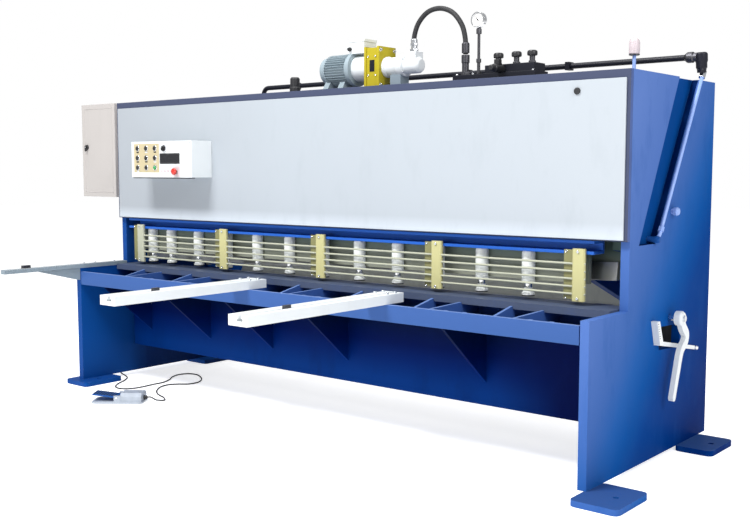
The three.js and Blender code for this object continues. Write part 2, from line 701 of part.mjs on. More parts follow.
function mainBarrel(side) {
  const barrel = join(
    rodZ(58, BARREL_START, BARREL_END, 0, 0, 24),
    rodZ(61, BARREL_START, BARREL_START + 32, 0, 0, 24),
    side > 0
      ? block(0, INSIDE - CYLINDER_X - GAP, -140, 140, 500, 625)
      : block(-(INSIDE - CYLINDER_X - GAP), 0, -140, 140, 500, 625),
  );
  return cut(barrel, rodZ(47.5, BARREL_START - 1, 560, 0, 0, 16));
}

function mainPlunger() {
  return join(rodZ(45, 42, 545, 0, 0, 16), rodZ(20, 10, 60, 0, 0, 10), ball(34, 0, 0, 0, 12));
}

// ---------------------------------------------------------------- assembly
add('left_side_plate', sidePlate(-1), 'blue');
add('right_side_plate', sidePlate(1), 'blue');
add('work_table', workTable(), 'blue');
add('front_apron', frontApron(), 'navy');
add('lower_blade', lowerBlade(), 'steel');
add('press_beam', pressBeam(), 'blue');
add('hold_down_cylinders', holdDownCylinders(), 'white');
for (let i = 0; i < STATIONS; i += 1) {
  const plunger = add(`hold_down_plunger_${String(i + 1).padStart(2, '0')}`, holdDownPlunger(), 'white');
  plunger.position.set(stationX(i), HOLD_Y, PLUNGER_FOOT);
}
add('finger_guard', fingerGuard(), 'yellow');
add('panel_frame', panelFrame(), 'blue');
add('front_panel', block(-1708, 1708, PANEL_FRONT, -GAP, PANEL_BOTTOM + 5, 1684), 'panel');
add('oil_tank', oilTank(), 'blue');
add('motor', motor(), 'grey');
add('bell_housing', bellHousing(), 'yellow');
add('pump', pump(), 'white');
add('pressure_hose', pressureHose(), 'rubber');
add('valve_manifold', valveManifold(), 'black');
add('pressure_gauge', pressureGauge(), 'steel');
add('filler_cap', fillerCap(), 'black');
add('series_pipe', seriesPipe(), 'black');
add('down_pipe', downPipe(), 'steel');
add('electric_cabinet', electricCabinet(), 'panel');
add('cabinet_door', cabinetDoor(), 'panel');
add('door_lock', doorLock(), 'black');
add('control_box', controlBox(), 'white');
add('start_button', pushButton(START), 'green');
add('stop_button', pushButton(STOP), 'black');
add('emergency_stop', emergencyStop(ESTOP), 'red');
add('mode_selector', selector(SELECTOR), 'black');
add('support_arm_left', supportArm(-269, -1145), 'white');
add('support_arm_right', supportArm(643, -1187), 'white');
add('squaring_arm', squaringArm(), 'grey');
add('gap_lever', gapLever(), 'white');
add('gap_scale', gapScale(), 'white');
add('cable_conduit', cableConduit(), 'grey');
add('pedal_cable', pedalCable(), 'rubber');
add('rear_guard', rearGuard(), 'grey');

const footSwitch = new THREE.Group();
footSwitch.position.set(PEDAL_X, PEDAL_Y, 0);
footSwitch.rotation.z = PEDAL_TURN;
machine.add(footSwitch);
add('foot_switch_base', footSwitchBase(), 'grey', footSwitch);
add('foot_treadle', footTreadle(), 'blue', footSwitch);

const swing = new THREE.Group();
swing.position.set(0, PIVOT_Y, PIVOT_Z);
swing.rotation.x = -THREE.MathUtils.degToRad(SWING_DEG);
machine.add(swing);
add('swing_beam', swingBeam(), 'blue', swing);
add('upper_blade', upperBlade(), 'steel', swing);
add('backgauge_screw_left', backgaugeScrew(-900), 'steel', swing);
add('backgauge_screw_right', backgaugeScrew(900), 'steel', swing);
add('backgauge_beam', backgaugeBeam(), 'blue', swing);

const [openY, openZ] = ballSeat(-SEAT_ANGLE);
[['left', -1], ['right', 1]].forEach(([name, side]) => {
  const axis = new THREE.Group();
  axis.position.set(side * CYLINDER_X, PIVOT_Y + openY, PIVOT_Z + openZ);
  axis.rotation.x = -CYLINDER_SLANT;
  machine.add(axis);
  add(`main_cylinder_${name}`, mainBarrel(side), 'blue', axis);
  add(`main_plunger_${name}`, mainPlunger(), 'steel', axis);
});

// The origin is on the floor, in the middle of the footprint; the loose cable doesn't count.
function footprint() {
  machine.updateMatrixWorld(true);
  const box = new THREE.Box3();
  machine.traverse((item) => {
    if (item.isMesh && item.name !== 'pedal_cable') box.expandByObject(item, true);
  });
  return box.getCenter(new THREE.Vector3());
}

const centre = footprint();
machine.position.set(-centre.x, -centre.y, 0);

export default machine;
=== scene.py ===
"""Looks for a hydraulic swing-beam shear: materials, detailed pieces, floor, lights and camera.

Lengths in this file are millimetres, in the frame of the CAD model, unless a name or a comment
says otherwise. They are turned into metres where a mesh, curve, light or camera is made.
"""
import json
from itertools import product
from math import atan2, cos, pi, radians, sin

import bmesh
import bpy
from mathutils import Matrix, Vector


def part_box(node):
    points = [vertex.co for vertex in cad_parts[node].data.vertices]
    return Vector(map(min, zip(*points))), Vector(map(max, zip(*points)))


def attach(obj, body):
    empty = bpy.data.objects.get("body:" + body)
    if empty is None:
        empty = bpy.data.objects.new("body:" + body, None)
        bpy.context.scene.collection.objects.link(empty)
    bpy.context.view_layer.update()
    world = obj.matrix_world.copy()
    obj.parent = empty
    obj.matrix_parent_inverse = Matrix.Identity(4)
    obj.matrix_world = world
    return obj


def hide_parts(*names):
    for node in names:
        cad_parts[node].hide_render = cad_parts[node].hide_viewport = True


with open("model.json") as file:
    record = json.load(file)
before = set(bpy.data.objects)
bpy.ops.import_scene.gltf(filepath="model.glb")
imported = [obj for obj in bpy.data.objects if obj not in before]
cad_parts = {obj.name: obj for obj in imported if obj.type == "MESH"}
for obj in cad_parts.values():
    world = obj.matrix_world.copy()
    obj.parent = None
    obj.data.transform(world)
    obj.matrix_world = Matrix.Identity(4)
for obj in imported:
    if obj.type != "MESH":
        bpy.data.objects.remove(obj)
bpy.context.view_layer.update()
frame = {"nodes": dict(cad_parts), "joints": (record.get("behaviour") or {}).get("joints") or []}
NODES = frame["nodes"]
JOINTS = {joint["name"]: joint for joint in frame["joints"]}
MM = 0.001
GAP = 0.3  # between pieces that rest on one another
UP, RIGHT, FRONT = (0, 0, 1), (1, 0, 0), (0, -1, 0)


# ---------------------------------------------------------------- places from the frame
class Span:
    """The box of a CAD node, in millimetres."""

    def __init__(self, node):
        low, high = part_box(node)
        self.x0, self.y0, self.z0 = (v / MM for v in low)
        self.x1, self.y1, self.z1 = (v / MM for v in high)
        self.x, self.y, self.z = ((a + b) / 2 / MM for a, b in zip(low, high))


def joint_place(name):
    return [v / MM for v in JOINTS[name]["pos_m"]]


# The middle of the panel's front face at floor level, which the machine is laid out from.
PANEL = Span("panel_frame")
MIDDLE = Vector((PANEL.x, PANEL.y0, 0))
TOP = PANEL.z1
OUTER_X = PANEL.x1  # outer face of the right side plate
TABLE = Span("work_table")

# ---------------------------------------------------------------- camera
CAMERA_FROM_MIDDLE = Vector((3566.5, -3881.4, 1306.8))
CAMERA_TURN = 39.491  # degrees round the vertical
CAMERA_DOWN = 5.354  # degrees below the horizon
CAMERA_LENS = 48.33


def make_camera():
    data = bpy.data.cameras.new("camera")
    data.lens = CAMERA_LENS
    data.sensor_width = 36
    data.clip_end = 100
    camera = bpy.data.objects.new("camera", data)
    bpy.context.scene.collection.objects.link(camera)
    camera.location = (MIDDLE + CAMERA_FROM_MIDDLE) * MM
    camera.rotation_euler = (radians(90 - CAMERA_DOWN), 0, radians(CAMERA_TURN))
    bpy.context.scene.camera = camera


make_camera()


# ---------------------------------------------------------------- materials
class Nodes:
    """A new material, and a short way to write its node tree. Places and lengths in it are metres.

    Most calls add a node and return its output.
    """

    def __init__(self, name):
        self.material = bpy.data.materials.new(name)
        self.material.use_nodes = True
        self.tree = self.material.node_tree
        self.shader = self.tree.nodes["Principled BSDF"]
        self.coords = self.new("TexCoord").outputs["Object"]

    def new(self, kind, **sockets):
        node = self.tree.nodes.new("ShaderNode" + kind)
        for name, value in sockets.items():
            self.put(node.inputs[name], value)
        return node

    def put(self, socket, value):
        """Gives a socket a number or a colour, or links it to an output."""
        if isinstance(value, tuple):
            socket.default_value = (*value, 1)
        elif isinstance(value, (int, float)):
            socket.default_value = value
        else:
            self.tree.links.new(value, socket)

    def surface(self, name, value):
        self.put(self.shader.inputs[name], value)

    def noise(self, scale, detail=2.0, roughness=0.5, stretch=(1, 1, 1)):
        mapping = self.new("Mapping", Vector=self.coords)
        mapping.inputs["Scale"].default_value = stretch
        place = mapping.outputs["Vector"]
        node = self.new("TexNoise", Vector=place, Scale=scale, Detail=detail, Roughness=roughness)
        return node.outputs["Fac"]

    def remap(self, value, low, high, to_low=0.0, to_high=1.0):
        node = self.new("MapRange", Value=value)
        for name, number in zip(("From Min", "From Max", "To Min", "To Max"), (low, high, to_low, to_high)):
            node.inputs[name].default_value = number
        return node.outputs["Result"]

    def math(self, operation, a, b=0.0):
        node = self.new("Math")
        node.operation = operation
        for socket, value in zip(node.inputs, (a, b)):
            self.put(socket, value)
        return node.outputs["Value"]

    def above(self, value, limit):
        return self.math("GREATER_THAN", value, limit)

    def below(self, value, limit):
        return self.math("LESS_THAN", value, limit)

    def times(self, a, b):
        return self.math("MULTIPLY", a, b)

    def axis(self, name):
        return self.new("SeparateXYZ", Vector=self.coords).outputs[name]

    def facing(self, name):
        """How far the surface faces along that axis, from -1 to 1."""
        return self.new("SeparateXYZ", Vector=self.new("NewGeometry").outputs["Normal"]).outputs[name]

    def mix(self, factor, a, b):
        node = self.new("Mix")
        node.data_type = "RGBA"
        self.put(node.inputs["Factor"], factor)
        for name, value in (("A", a), ("B", b)):
            self.put(next(s for s in node.inputs if s.name == name and s.type == "RGBA"), value)
        return next(s for s in node.outputs if s.type == "RGBA")

    def ramp(self, value, stops):
        """A colour that follows the value through the stops, each (value, colour)."""
        low, high = stops[0][0], stops[-1][0]
        node = self.new("ValToRGB", Fac=self.remap(value, low, high))
        elements = node.color_ramp.elements
        for _ in stops[2:]:
            elements.new(0.5)
        for element, (place, colour) in zip(elements, stops):
            element.position = (place - low) / (high - low)
        for element, (_, colour) in zip(elements, stops):
            element.color = (*colour, 1)
        return node.outputs["Color"]

    def edges(self, radius):
        """1 along sharp edges, falling to 0 at that radius, in metres."""
        bevel = self.new("Bevel", Radius=radius)
        bevel.samples = 4
        dot = self.new("VectorMath")
        dot.operation = "DOT_PRODUCT"
        for socket, node in zip(dot.inputs, (bevel, self.new("NewGeometry"))):
            self.put(socket, node.outputs["Normal"])
        return self.remap(dot.outputs["Value"], 0.99, 0.8)

    def bump(self, height, distance, strength):
        node = self.new("Bump", Strength=strength, Distance=distance, Height=height)
        self.surface("Normal", node.outputs["Normal"])


def scaled(colour, factor):
    return tuple(min(1.0, channel * factor) for channel in colour)


def paint(name, colour, roughness=0.4, specular=0.3, mottle=0.07, wear=0.0, primer=(0.32, 0.33, 0.35),
          peel=0.00035, shade=None):
    """Sprayed machine enamel: orange peel, uneven gloss, faint shade drift, worn edges.

    shade(nodes) gives a colour that varies over the part, in place of the plain one. Most of the shade
    functions below paint light and shade into that colour.
    """
    nodes = Nodes(name)
    drift = nodes.remap(nodes.noise(1.3, 3), 0.3, 0.7)
    if shade:
        tint = nodes.mix(nodes.times(drift, mottle), shade(nodes), scaled(colour, 0.6))
    else:
        tint = nodes.mix(drift, scaled(colour, 1 - mottle), scaled(colour, 1 + mottle))
    smudge = nodes.remap(nodes.noise(9, 5, 0.65, (1, 1, 0.35)), 0.52, 0.72, 0.0, 0.3)
    tint = nodes.mix(smudge, tint, scaled(colour, 0.86))
    if wear:
        chips = nodes.remap(nodes.noise(70, 4, 0.6), 0.54, 0.6)
        worn = nodes.times(nodes.times(nodes.edges(0.004), chips), wear)
        tint = nodes.mix(worn, tint, primer)
    nodes.surface("Base Color", tint)
    gloss = nodes.remap(nodes.noise(5, 4, 0.6), 0.3, 0.7, roughness - 0.06, roughness + 0.08)
    nodes.surface("Roughness", gloss)
    nodes.surface("Specular IOR Level", specular)
    nodes.bump(nodes.noise(420, 2), peel, 0.35)
    return nodes.material


def side_plate_painted_light(nodes):
    """Painted light and shade: pale high on the front, deep low down and behind, painted shade in the recess
    for the pipe.
    """
    x, y, z = (nodes.axis(name) for name in "XYZ")
    back = nodes.math("SUBTRACT", y, MIDDLE.y * MM)
    height = nodes.math("SUBTRACT", z, nodes.times(back, 1.25))
    face = nodes.ramp(height, [
        (-0.85, (0.0, 0.020, 0.145)), (-0.1, (0.0, 0.043, 0.225)), (0.15, (0.001, 0.070, 0.297)),
        (0.35, (0.014, 0.095, 0.345)), (0.6, (0.045, 0.118, 0.365)), (1.0, (0.074, 0.150, 0.415)),
        (1.5, (0.100, 0.180, 0.455))])
    # The tops of the feet are painted a duller blue: painted shade.
    on_foot = nodes.times(nodes.below(z, 0.05), nodes.above(nodes.facing("Z"), 0.7))
    face = nodes.mix(on_foot, face, (0.030, 0.075, 0.23))
    # In the recess: painted shade on the floor, the wall facing the front painted lighter as painted light, a
    # painted shadow line along the wall's outer 12 mm, and painted shade on upward faces.
    wall = nodes.below(nodes.facing("Y"), -0.5)
    shadow_line_at_lip = nodes.above(x, (OUTER_X - 12) * MM)
    recess = nodes.mix(wall, (0.002, 0.050, 0.222), nodes.mix(shadow_line_at_lip, (0.015, 0.070, 0.29), (0.0, 0.022, 0.13)))
    recess = nodes.mix(nodes.above(nodes.facing("Z"), 0.5), recess, (0.0, 0.012, 0.08))
    inside = nodes.below(x, (OUTER_X - 4) * MM)
    for axis, low, high in ((back, 0.105, 0.715), (z, 0.983, TOP * MM - 0.002)):
        inside = nodes.times(nodes.times(inside, nodes.above(axis, low)), nodes.below(axis, high))
    return nodes.mix(inside, face, recess)


def apron_painted_shade(nodes):
    """Painted shade: nearly black under the table, blue towards the lower edge, and dark again by the right
    leg as painted shadow.
    """
    down = nodes.ramp(nodes.axis("Z"), [
        (0.25, (0.001, 0.034, 0.20)), (0.35, (0.0, 0.016, 0.13)), (0.44, (0.0, 0.006, 0.07)),
        (0.54, (0.001, 0.006, 0.038))])
    # Painted shadow towards the right leg.
    right = nodes.remap(nodes.axis("X"), (MIDDLE.x + 1050) * MM, (MIDDLE.x + 1400) * MM)
    return nodes.mix(right, down, (0.0, 0.004, 0.055))


def left_plate_painted_shade(nodes):
    """Blue; painted shade darkens the inner face of the leg towards the back, where it falls into shade
    behind the table.
    """
    back = nodes.math("SUBTRACT", nodes.axis("Y"), MIDDLE.y * MM)
    leg = nodes.ramp(back, [
        (-0.22, (0.004, 0.062, 0.27)), (0.02, (0.003, 0.048, 0.215)), (0.16, (0.001, 0.018, 0.10)),
        (0.5, (0.001, 0.012, 0.07))])
    low = nodes.below(nodes.axis("Z"), 0.72)
    inner = nodes.above(nodes.facing("X"), 0.5)
    return nodes.mix(nodes.times(low, inner), (0.008, 0.062, 0.27), leg)


def panel_painted_light(nodes):
    """Painted light: a shade paler towards the right, and a painted highlight along the lower edge."""
    along = nodes.ramp(nodes.axis("X"), [
        ((MIDDLE.x - 1700) * MM, (0.345, 0.372, 0.405)), ((MIDDLE.x - 300) * MM, (0.395, 0.432, 0.470)),
        ((MIDDLE.x + 1600) * MM, (0.430, 0.467, 0.505))])
    # Painted highlight along the lower edge.
    edge = PANEL.z0 * MM
    low = nodes.ramp(nodes.axis("Z"), [(edge + 0.02, (1.0, 1.0, 1.0)), (edge + 0.075, (0.0, 0.0, 0.0))])
    return nodes.mix(nodes.times(low, 0.55), along, (0.60, 0.66, 0.72))


def panel_frame_shade(nodes):
    """Slate, with its ends painted in with the side plates."""
    return nodes.mix(nodes.above(nodes.facing("X"), 0.7), SLATE, (0.070, 0.115, 0.30))


def olive_with_painted_shade(nodes):
    """Grey olive with painted shade under the beam."""
    return nodes.ramp(nodes.axis("Z"), [
        (0.80, (0.30, 0.31, 0.25)), (0.88, (0.24, 0.26, 0.21)), (0.95, (0.11, 0.165, 0.14))])


def guard_painted_light_and_shade(nodes):
    """Slate grey; on the side towards the blades, painted shade low down and painted light by the throat."""
    inner = nodes.ramp(nodes.axis("Z"), [
        (0.54, (0.035, 0.037, 0.040)), (0.62, (0.62, 0.63, 0.53)), (0.80, (0.50, 0.52, 0.44))])
    return nodes.mix(nodes.below(nodes.facing("Y"), -0.5), (0.17, 0.19, 0.21), inner)


def beam_shade(nodes):
    """Blue in the darker painted-shade copy, with the machined front of the beam in grey olive that has
    painted shade high up.
    """
    return nodes.mix(nodes.below(nodes.facing("Y"), -0.8), BLUE_PAINTED_SHADE, olive_with_painted_shade(nodes))


def table_ground_top_and_painted_light(nodes):
    """Blue rail with painted shade at its lower edge and painted highlights on its upward faces, with a
    ground, grey top plate.
    """
    rail = nodes.ramp(nodes.axis("Z"), [
        (0.585, (0.006, 0.03, 0.11)), (0.612, (0.040, 0.098, 0.29)), (0.70, (0.045, 0.105, 0.31))])
    marks = nodes.noise(90, 4, 0.6, (1, 12, 12))
    ground = nodes.mix(marks, (0.055, 0.072, 0.12), (0.10, 0.125, 0.19))
    above = nodes.above(nodes.axis("Z"), (TABLE.z1 - 33) * MM)
    behind_rail = nodes.above(nodes.axis("Y"), (MIDDLE.y - 61) * MM)
    # Painted highlights on the upward faces of the rail and ribs.
    rail = nodes.mix(nodes.above(nodes.facing("Z"), 0.7), rail, (0.12, 0.20, 0.44))
    return nodes.mix(nodes.times(above, behind_rail), rail, ground)


def metal(name, colour, roughness=0.28, grain=(1, 1, 1), stain=0.0):
    """Bare or plated metal with grinding marks across the stretched axes of the grain."""
    nodes = Nodes(name)
    marks = nodes.noise(260, 3, 0.6, grain)
    cloud = nodes.remap(nodes.noise(7, 5, 0.6), 0.35, 0.7)
    tint = nodes.mix(marks, scaled(colour, 0.84), scaled(colour, 1.1))
    tint = nodes.mix(nodes.times(cloud, stain), tint, scaled(colour, 0.55))
    nodes.surface("Base Color", tint)
    nodes.surface("Metallic", 1.0)
    nodes.surface("Roughness", nodes.remap(marks, 0.2, 0.8, roughness - 0.07, roughness + 0.12))
    nodes.bump(marks, 0.0002, 0.3)
    return nodes.material


def plastic(name, colour, roughness=0.35, grain=0.0002, coat=0.0):
    """Moulded plastic: a fine spark-eroded grain and slightly uneven gloss."""
    nodes = Nodes(name)
    tint = nodes.mix(nodes.remap(nodes.noise(30, 3), 0.3, 0.7), scaled(colour, 0.92), scaled(colour, 1.06))
    nodes.surface("Base Color", tint)
    nodes.surface("Roughness", nodes.remap(nodes.noise(60, 3), 0.3, 0.7, roughness - 0.05, roughness + 0.08))
    nodes.surface("Coat Weight", coat)
    nodes.bump(nodes.noise(1400, 2), grain, 0.4)
    return nodes.material


def rubber(name, colour):
    nodes = Nodes(name)
    dust = nodes.remap(nodes.noise(40, 5, 0.7), 0.5, 0.8, 0.0, 0.4)
    nodes.surface("Base Color", nodes.mix(dust, colour, scaled(colour, 2.6)))
    nodes.surface("Roughness", nodes.remap(nodes.noise(90, 3), 0.3, 0.7, 0.55, 0.8))
    nodes.bump(nodes.noise(900, 3), 0.0003, 0.5)
    return nodes.material


def ruler(name, axis, colour, pitch=0.01):
    """A pale strip with a dark graduation at each pitch, in metres, along the axis."""
    nodes = Nodes(name)
    along = nodes.times(nodes.axis(axis), 1 / pitch)
    line = nodes.below(nodes.math("FRACT", along), 0.16)
    face = nodes.mix(nodes.noise(60, 3), scaled(colour, 0.93), colour)
    nodes.surface("Base Color", nodes.mix(line, face, (0.03, 0.03, 0.03)))
    nodes.surface("Roughness", 0.35)
    nodes.bump(nodes.noise(300, 2), 0.0001, 0.3)
    return nodes.material


BLUE = (0.012, 0.080, 0.31)
# A darker copy of the machine blue for parts inside the machine: painted shade.
BLUE_PAINTED_SHADE = (0.006, 0.055, 0.25)
SLATE = (0.060, 0.072, 0.125)
M_SIDE_PLATE = paint("enamel_side_plate", BLUE, 0.42, 0.01, mottle=0.05, wear=0.35, primer=(0.10, 0.16, 0.34),
                     shade=side_plate_painted_light)
M_BLUE = paint("enamel_blue", BLUE, 0.38, 0.08, wear=0.4)
M_BLUE_PAINTED_SHADE = paint("enamel_blue_inner", BLUE_PAINTED_SHADE, 0.45, 0.06, wear=0.3)
# A paler copy of the blue for the press beam, which lies in shade: painted light.
M_PRESS_PAINTED_LIGHT = paint("enamel_press", (0.020, 0.115, 0.50), 0.42, 0.15)
M_BEAM = paint("enamel_beam", BLUE_PAINTED_SHADE, 0.45, 0.06, mottle=0.05, shade=beam_shade)
M_HOLD_RAIL = paint("enamel_hold_rail", (0.20, 0.21, 0.17), 0.5, 0.1, mottle=0.1, shade=olive_with_painted_shade)
# The apron's dark navy is painted shade under the table.
M_APRON = paint("enamel_apron", (0.001, 0.012, 0.09), 0.5, 0.03, mottle=0.05, shade=apron_painted_shade)
# Paler than the machine blue, as painted light along the down pipe and on the knob.
M_PIPE_BLUE = paint("enamel_pipe_blue", (0.27, 0.40, 0.78), 0.3, 0.4)
M_LEFT_PLATE = paint("enamel_left_plate", BLUE_PAINTED_SHADE, 0.42, 0.05, mottle=0.05, wear=0.3,
                     shade=left_plate_painted_shade)
M_SLATE = paint("enamel_slate", SLATE, 0.45, 0.12)
M_FRAME = paint("enamel_frame", SLATE, 0.45, 0.1, mottle=0.1, shade=panel_frame_shade)
M_PANEL = paint("enamel_panel", (0.40, 0.44, 0.48), 0.42, 0.25, mottle=0.04, shade=panel_painted_light)
M_CABINET = paint("enamel_cabinet", (0.44, 0.415, 0.40), 0.45, 0.2, mottle=0.02)
M_WHITE = paint("enamel_white", (0.74, 0.77, 0.78), 0.38, 0.3, mottle=0.03, wear=0.3)
# A paler copy of the white for the hold-downs, which stand in the shade of the beam: painted light.
M_HOLD_WHITE_PAINTED_LIGHT = paint("enamel_hold_white", (0.90, 0.92, 0.88), 0.38, 0.3, mottle=0.03, wear=0.2)
M_CREAM = paint("enamel_cream", (0.46, 0.47, 0.36), 0.4, 0.25, mottle=0.05)
M_YELLOW = paint("enamel_yellow", (0.54, 0.51, 0.245), 0.38, 0.25, mottle=0.06, wear=0.4)
# A darker olive copy of the yellow for the guard's wing sheets: painted shade.
M_YELLOW_PAINTED_SHADE = paint("enamel_olive", (0.25, 0.24, 0.11), 0.5, 0.15, mottle=0.1)
M_OCHRE = paint("enamel_ochre", (0.44, 0.36, 0.02), 0.42, 0.2, mottle=0.08)
M_GREY = paint("enamel_grey", (0.22, 0.27, 0.31), 0.45, 0.2, mottle=0.06)
M_MOTOR = paint("enamel_motor", (0.31, 0.38, 0.42), 0.45, 0.2, mottle=0.06)
M_GUARD = paint("enamel_guard_grey", (0.30, 0.30, 0.26), 0.5, 0.1, mottle=0.08, shade=guard_painted_light_and_shade)
M_BLACK = paint("enamel_black", (0.010, 0.011, 0.018), 0.4, 0.25)
M_BEIGE = paint("enamel_beige", (0.50, 0.43, 0.27), 0.45, 0.2)
M_STEEL = metal("steel_ground", (0.55, 0.56, 0.58), 0.3, (1, 30, 30), 0.2)
M_BRIGHT = metal("steel_plated", (0.78, 0.80, 0.83), 0.2)
M_CHROME = metal("steel_chromed", (0.82, 0.83, 0.85), 0.1)
M_DARK_STEEL = metal("steel_blackened", (0.10, 0.10, 0.11), 0.4)
M_RUBBER = rubber("rubber_black", (0.018, 0.018, 0.02))
M_BLACK_PLASTIC = plastic("plastic_black", (0.02, 0.02, 0.022), 0.4)
M_SCREEN = plastic("plastic_screen", (0.008, 0.009, 0.012), 0.12, 0.00005, 0.6)
M_RED = plastic("plastic_red", (0.55, 0.03, 0.02), 0.25, coat=0.4)
M_GREEN = plastic("plastic_green", (0.03, 0.33, 0.10), 0.25, coat=0.4)
M_PALE_PLASTIC = plastic("plastic_pale", (0.62, 0.64, 0.66), 0.4)
M_SWITCH = plastic("plastic_switch", (0.36, 0.40, 0.46), 0.4)
M_DIAL = plastic("plastic_dial", (0.80, 0.80, 0.78), 0.2, 0.00003, 0.8)
M_PINK = plastic("plastic_pink", (0.62, 0.53, 0.55), 0.4)
M_TABLE = paint("enamel_table", (0.045, 0.105, 0.31), 0.4, 0.08, mottle=0.05, wear=0.3,
                primer=(0.12, 0.17, 0.33), shade=table_ground_top_and_painted_light)


# ---------------------------------------------------------------- mesh building
class Shape:
    """Gathers closed solids, in millimetres, into one mesh. Each solid takes the current material."""

    def __init__(self, *materials):
        self.mesh = bmesh.new()
        self.materials = materials
        self.material = 0

    def use(self, index):
        self.material = index
        return self

    def solid(self, points, faces):
        vertices = [self.mesh.verts.new(p) for p in points]
        for face in faces:
            self.mesh.faces.new([vertices[i] for i in face]).material_index = self.material
        return vertices

    def box(self, x0, x1, y0, y1, z0, z1):
        points = [(x, y, z) for z in (z0, z1) for x, y in ((x0, y0), (x1, y0), (x1, y1), (x0, y1))]
        faces = [(3, 2, 1, 0), (4, 5, 6, 7), (0, 1, 5, 4), (1, 2, 6, 5), (2, 3, 7, 6), (3, 0, 4, 7)]
        return self.solid(points, faces)

    def plate(self, axis, outline, start, end):
        """A flat plate. The outline is (y, z) for axis x, (x, z) for axis y and (x, y) for axis z."""

        def place(a, b, c):
            return {"x": (c, a, b), "y": (a, c, b), "z": (a, b, c)}[axis]

        count = len(outline)
        points = [place(a, b, c) for c in (start, end) for a, b in outline]
        sides = [(i, (i + 1) % count, (i + 1) % count + count, i + count) for i in range(count)]
        return self.solid(points, [tuple(reversed(range(count))), tuple(range(count, 2 * count)), *sides])

    def skin(self, points, sides, loop=False):
        """Joins rings of points, one after another, with a face at each end or into a closed loop."""
        rings = len(points) // sides
        ends = [tuple(reversed(range(sides))), tuple(range(len(points) - sides, len(points)))]
        faces = [] if loop else ends
        for ring in range(rings if loop else rings - 1):
            here, after = ring * sides, (ring + 1) % rings * sides
            for i in range(sides):
                beside = (i + 1) % sides
                faces.append((here + i, here + beside, after + beside, after + i))
        return self.solid(points, faces)

    def lathe(self, origin, direction, profile, sides=32, loop=False):
        """A turned solid: the profile is (distance along the direction, radius) from end to end."""
        turn = Vector(UP).rotation_difference(Vector(direction)).to_matrix()
        origin = Vector(origin)
        points = [origin + turn @ Vector((r * cos(2 * pi * i / sides), r * sin(2 * pi * i / sides), d))
                  for d, r in profile for i in range(sides)]
        return self.skin(points, sides, loop)

    def sleeve(self, origin, direction, profile, sides=32):
        """A turned ring: the profile is a closed loop of (distance along, radius) off the axis."""
        return self.lathe(origin, direction, profile, sides, loop=True)

    def tube(self, points, radius, sides=16):
        """A round bar along the points, with its section carried along without twist."""
        points = [Vector(p) for p in points]
        tangents = [(points[min(i + 1, len(points) - 1)] - points[max(i - 1, 0)]).normalized()
                    for i in range(len(points))]
        turns = [2 * pi * i / sides for i in range(sides)]
        side = tangents[0].orthogonal().normalized()
        ring_points = []
        for point, tangent in zip(points, tangents):
            side = (side - tangent * side.dot(tangent)).normalized()
            other = tangent.cross(side)
            ring_points += [point + radius * (cos(t) * side + sin(t) * other) for t in turns]
        return self.skin(ring_points, sides)

    def hexagon(self, origin, direction, across, length):
        radius = across / 2 / cos(pi / 6)
        return self.lathe(origin, direction, [(0, radius), (length, radius)], 6)

    def bolt(self, origin, direction, across=16, head=9):
        """A hexagon head bolt on its washer."""
        direction = Vector(direction).normalized()
        self.lathe(origin, direction, [(-1, across * 0.72), (2, across * 0.72)], 20)
        self.hexagon(Vector(origin) + direction * 1.5, direction, across, head)

    def cap_screw(self, origin, direction, radius=8, head=8):
        """A socket head cap screw."""
        socket = radius * 0.5
        profile = [(-1, radius), (head, radius), (head, socket), (head * 0.4, socket)]
        self.lathe(origin, direction, profile, 20)

    def rotate(self, vertices, centre, angle, axis):
        bmesh.ops.rotate(self.mesh, cent=centre, matrix=Matrix.Rotation(angle, 3, axis), verts=vertices)

    def turned(self, matrix):
        bmesh.ops.transform(self.mesh, matrix=matrix, verts=self.mesh.verts)
        return self

    def piece(self, name, body="frame", bevel=1.5, segments=2, replaces=()):
        bmesh.ops.recalc_face_normals(self.mesh, faces=self.mesh.faces)
        bmesh.ops.scale(self.mesh, vec=(MM, MM, MM), verts=self.mesh.verts)
        data = bpy.data.meshes.new(name)
        self.mesh.to_mesh(data)
        self.mesh.free()
        obj = bpy.data.objects.new(name, data)
        bpy.context.scene.collection.objects.link(obj)
        for material in self.materials:
            data.materials.append(material)
        soften(obj, bevel, segments)
        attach(obj, body)
        if replaces:
            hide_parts(*replaces)
        return obj


def soften(obj, width, segments=2):
    """Rounds the sharp edges of a mesh by that width and shades it smooth."""
    obj.data.polygons.foreach_set("use_smooth", [True] * len(obj.data.polygons))
    if width:
        bevel = obj.modifiers.new("edge", "BEVEL")
        bevel.width = width * MM
        bevel.segments = segments
        bevel.limit_method = "ANGLE"
        bevel.angle_limit = radians(32)
        bevel.use_clamp_overlap = True
    normals = obj.modifiers.new("normals", "WEIGHTED_NORMAL")
    normals.weight = 80
    normals.keep_sharp = True


